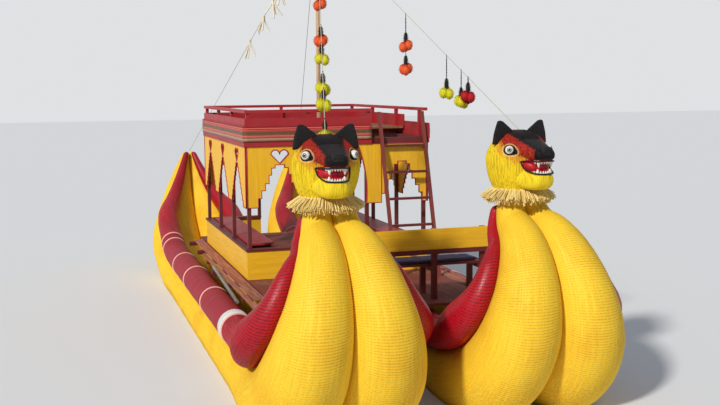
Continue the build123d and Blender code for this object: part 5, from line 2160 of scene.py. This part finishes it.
@dataclass
class Studio:
    """The pale floor at the waterline, soft lights and the photograph's camera."""

    eye: Vector = field(default_factory=lambda: Vector((CABIN_FRONT + 12.606, -3.683, DECK + 2.503)))
    yaw: float = 17.475
    pitch: float = 6.697
    roll: float = -0.464
    lens: float = 49.86
    floor_reach: float = 90.0
    floor_colour: Colour = (0.86, 0.87, 0.88, 1.0)
    sky_light: Colour = (0.80, 0.88, 1.0, 1.0)
    sky_strength: float = 0.34
    sky_seen: Colour = (0.74, 0.755, 0.77, 1.0)
    sun_way: tuple[float, float, float] = (0.58, -0.68, 0.55)
    sun_energy: float = 2.9
    sun_colour: tuple[float, float, float] = (1.0, 0.965, 0.90)

    def build(self) -> None:
        """Set the floor, the world, the sun and the camera."""
        self.floor()
        self.light()
        self.camera()
        bpy.context.scene.view_settings.view_transform = "Standard"

    def floor(self) -> None:
        """A wide pale floor at the waterline."""
        reach = self.floor_reach
        corners = [(-reach, -reach), (reach, -reach), (reach, reach), (-reach, reach)]
        plane = mesh_object("floor", [(x, y, WATERLINE) for x, y in corners], [[0, 1, 2, 3]])
        pale = start_material("pale_floor", 0.95, 0.05)
        pale.feed(pale.shader.inputs["Base Color"], self.floor_colour)
        put_material(plane, pale.material)

    def light(self) -> None:
        """A soft sun from ahead and to starboard, and an even sky."""
        world = bpy.data.worlds.new("pale_sky")
        bpy.context.scene.world = world
        world.use_nodes = True
        graph = Graph(world.node_tree)
        world.node_tree.nodes.clear()
        plain_sky = {"Color": self.sky_light, "Strength": self.sky_strength}
        seen_sky = {"Color": self.sky_seen, "Strength": 1.0}
        ray = graph.node("ShaderNodeLightPath").outputs
        share = graph.math("MAXIMUM", ray["Is Camera Ray"], ray["Is Glossy Ray"])
        share = graph.math("MAXIMUM", share, ray["Is Transmission Ray"])
        mixed = graph.out("ShaderNodeMixShader", {
            0: share, 1: graph.out("ShaderNodeBackground", plain_sky),
            2: graph.out("ShaderNodeBackground", seen_sky),
        })
        graph.node("ShaderNodeOutputWorld", {0: mixed})
        sun = bpy.data.lights.new("soft_sun", "SUN")
        sun.energy = self.sun_energy
        sun.angle = math.radians(5)
        sun.color = self.sun_colour
        linked("soft_sun", sun).rotation_euler = Vector(self.sun_way).to_track_quat("Z", "Y").to_euler()

    def camera(self) -> None:
        """The camera, solved from the corners of the cabin."""
        yaw, pitch, roll = (math.radians(value) for value in (self.yaw, self.pitch, self.roll))
        level = Vector((-math.cos(yaw), math.sin(yaw), 0))
        forward = level * math.cos(pitch) - UP * math.sin(pitch)
        right = Vector((math.sin(yaw), math.cos(yaw), 0))
        over = right.cross(forward)
        turned_right = right * math.cos(roll) + over * math.sin(roll)
        turned_up = over * math.cos(roll) - right * math.sin(roll)
        matrix = Matrix((turned_right, turned_up, -forward)).transposed().to_4x4()
        matrix.translation = self.eye
        data = bpy.data.cameras.new("camera")
        data.lens = self.lens
        data.sensor_width = 36.0
        data.clip_end = 300.0
        camera = linked("camera", data)
        camera.matrix_world = matrix
        bpy.context.scene.camera = camera


def plain(box: Iterable[Any]) -> list[list[float]]:
    """A box as plain lists of numbers."""
    return [[float(value) for value in corner] for corner in box]


def main() -> None:
    """Load the frame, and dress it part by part."""
    logging.basicConfig(level=logging.INFO, format="%(message)s")
    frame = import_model()
    Studio().build()
    Timber(frame["nodes"]).build()
    Hulls().build()
    fringe = straw_fringe()
    Heads(fringe).build()
    WovenBands().build()
    Rigging(frame["nodes"], fringe).build()
    BowBench().build()


if __name__ == "__main__":
    main()
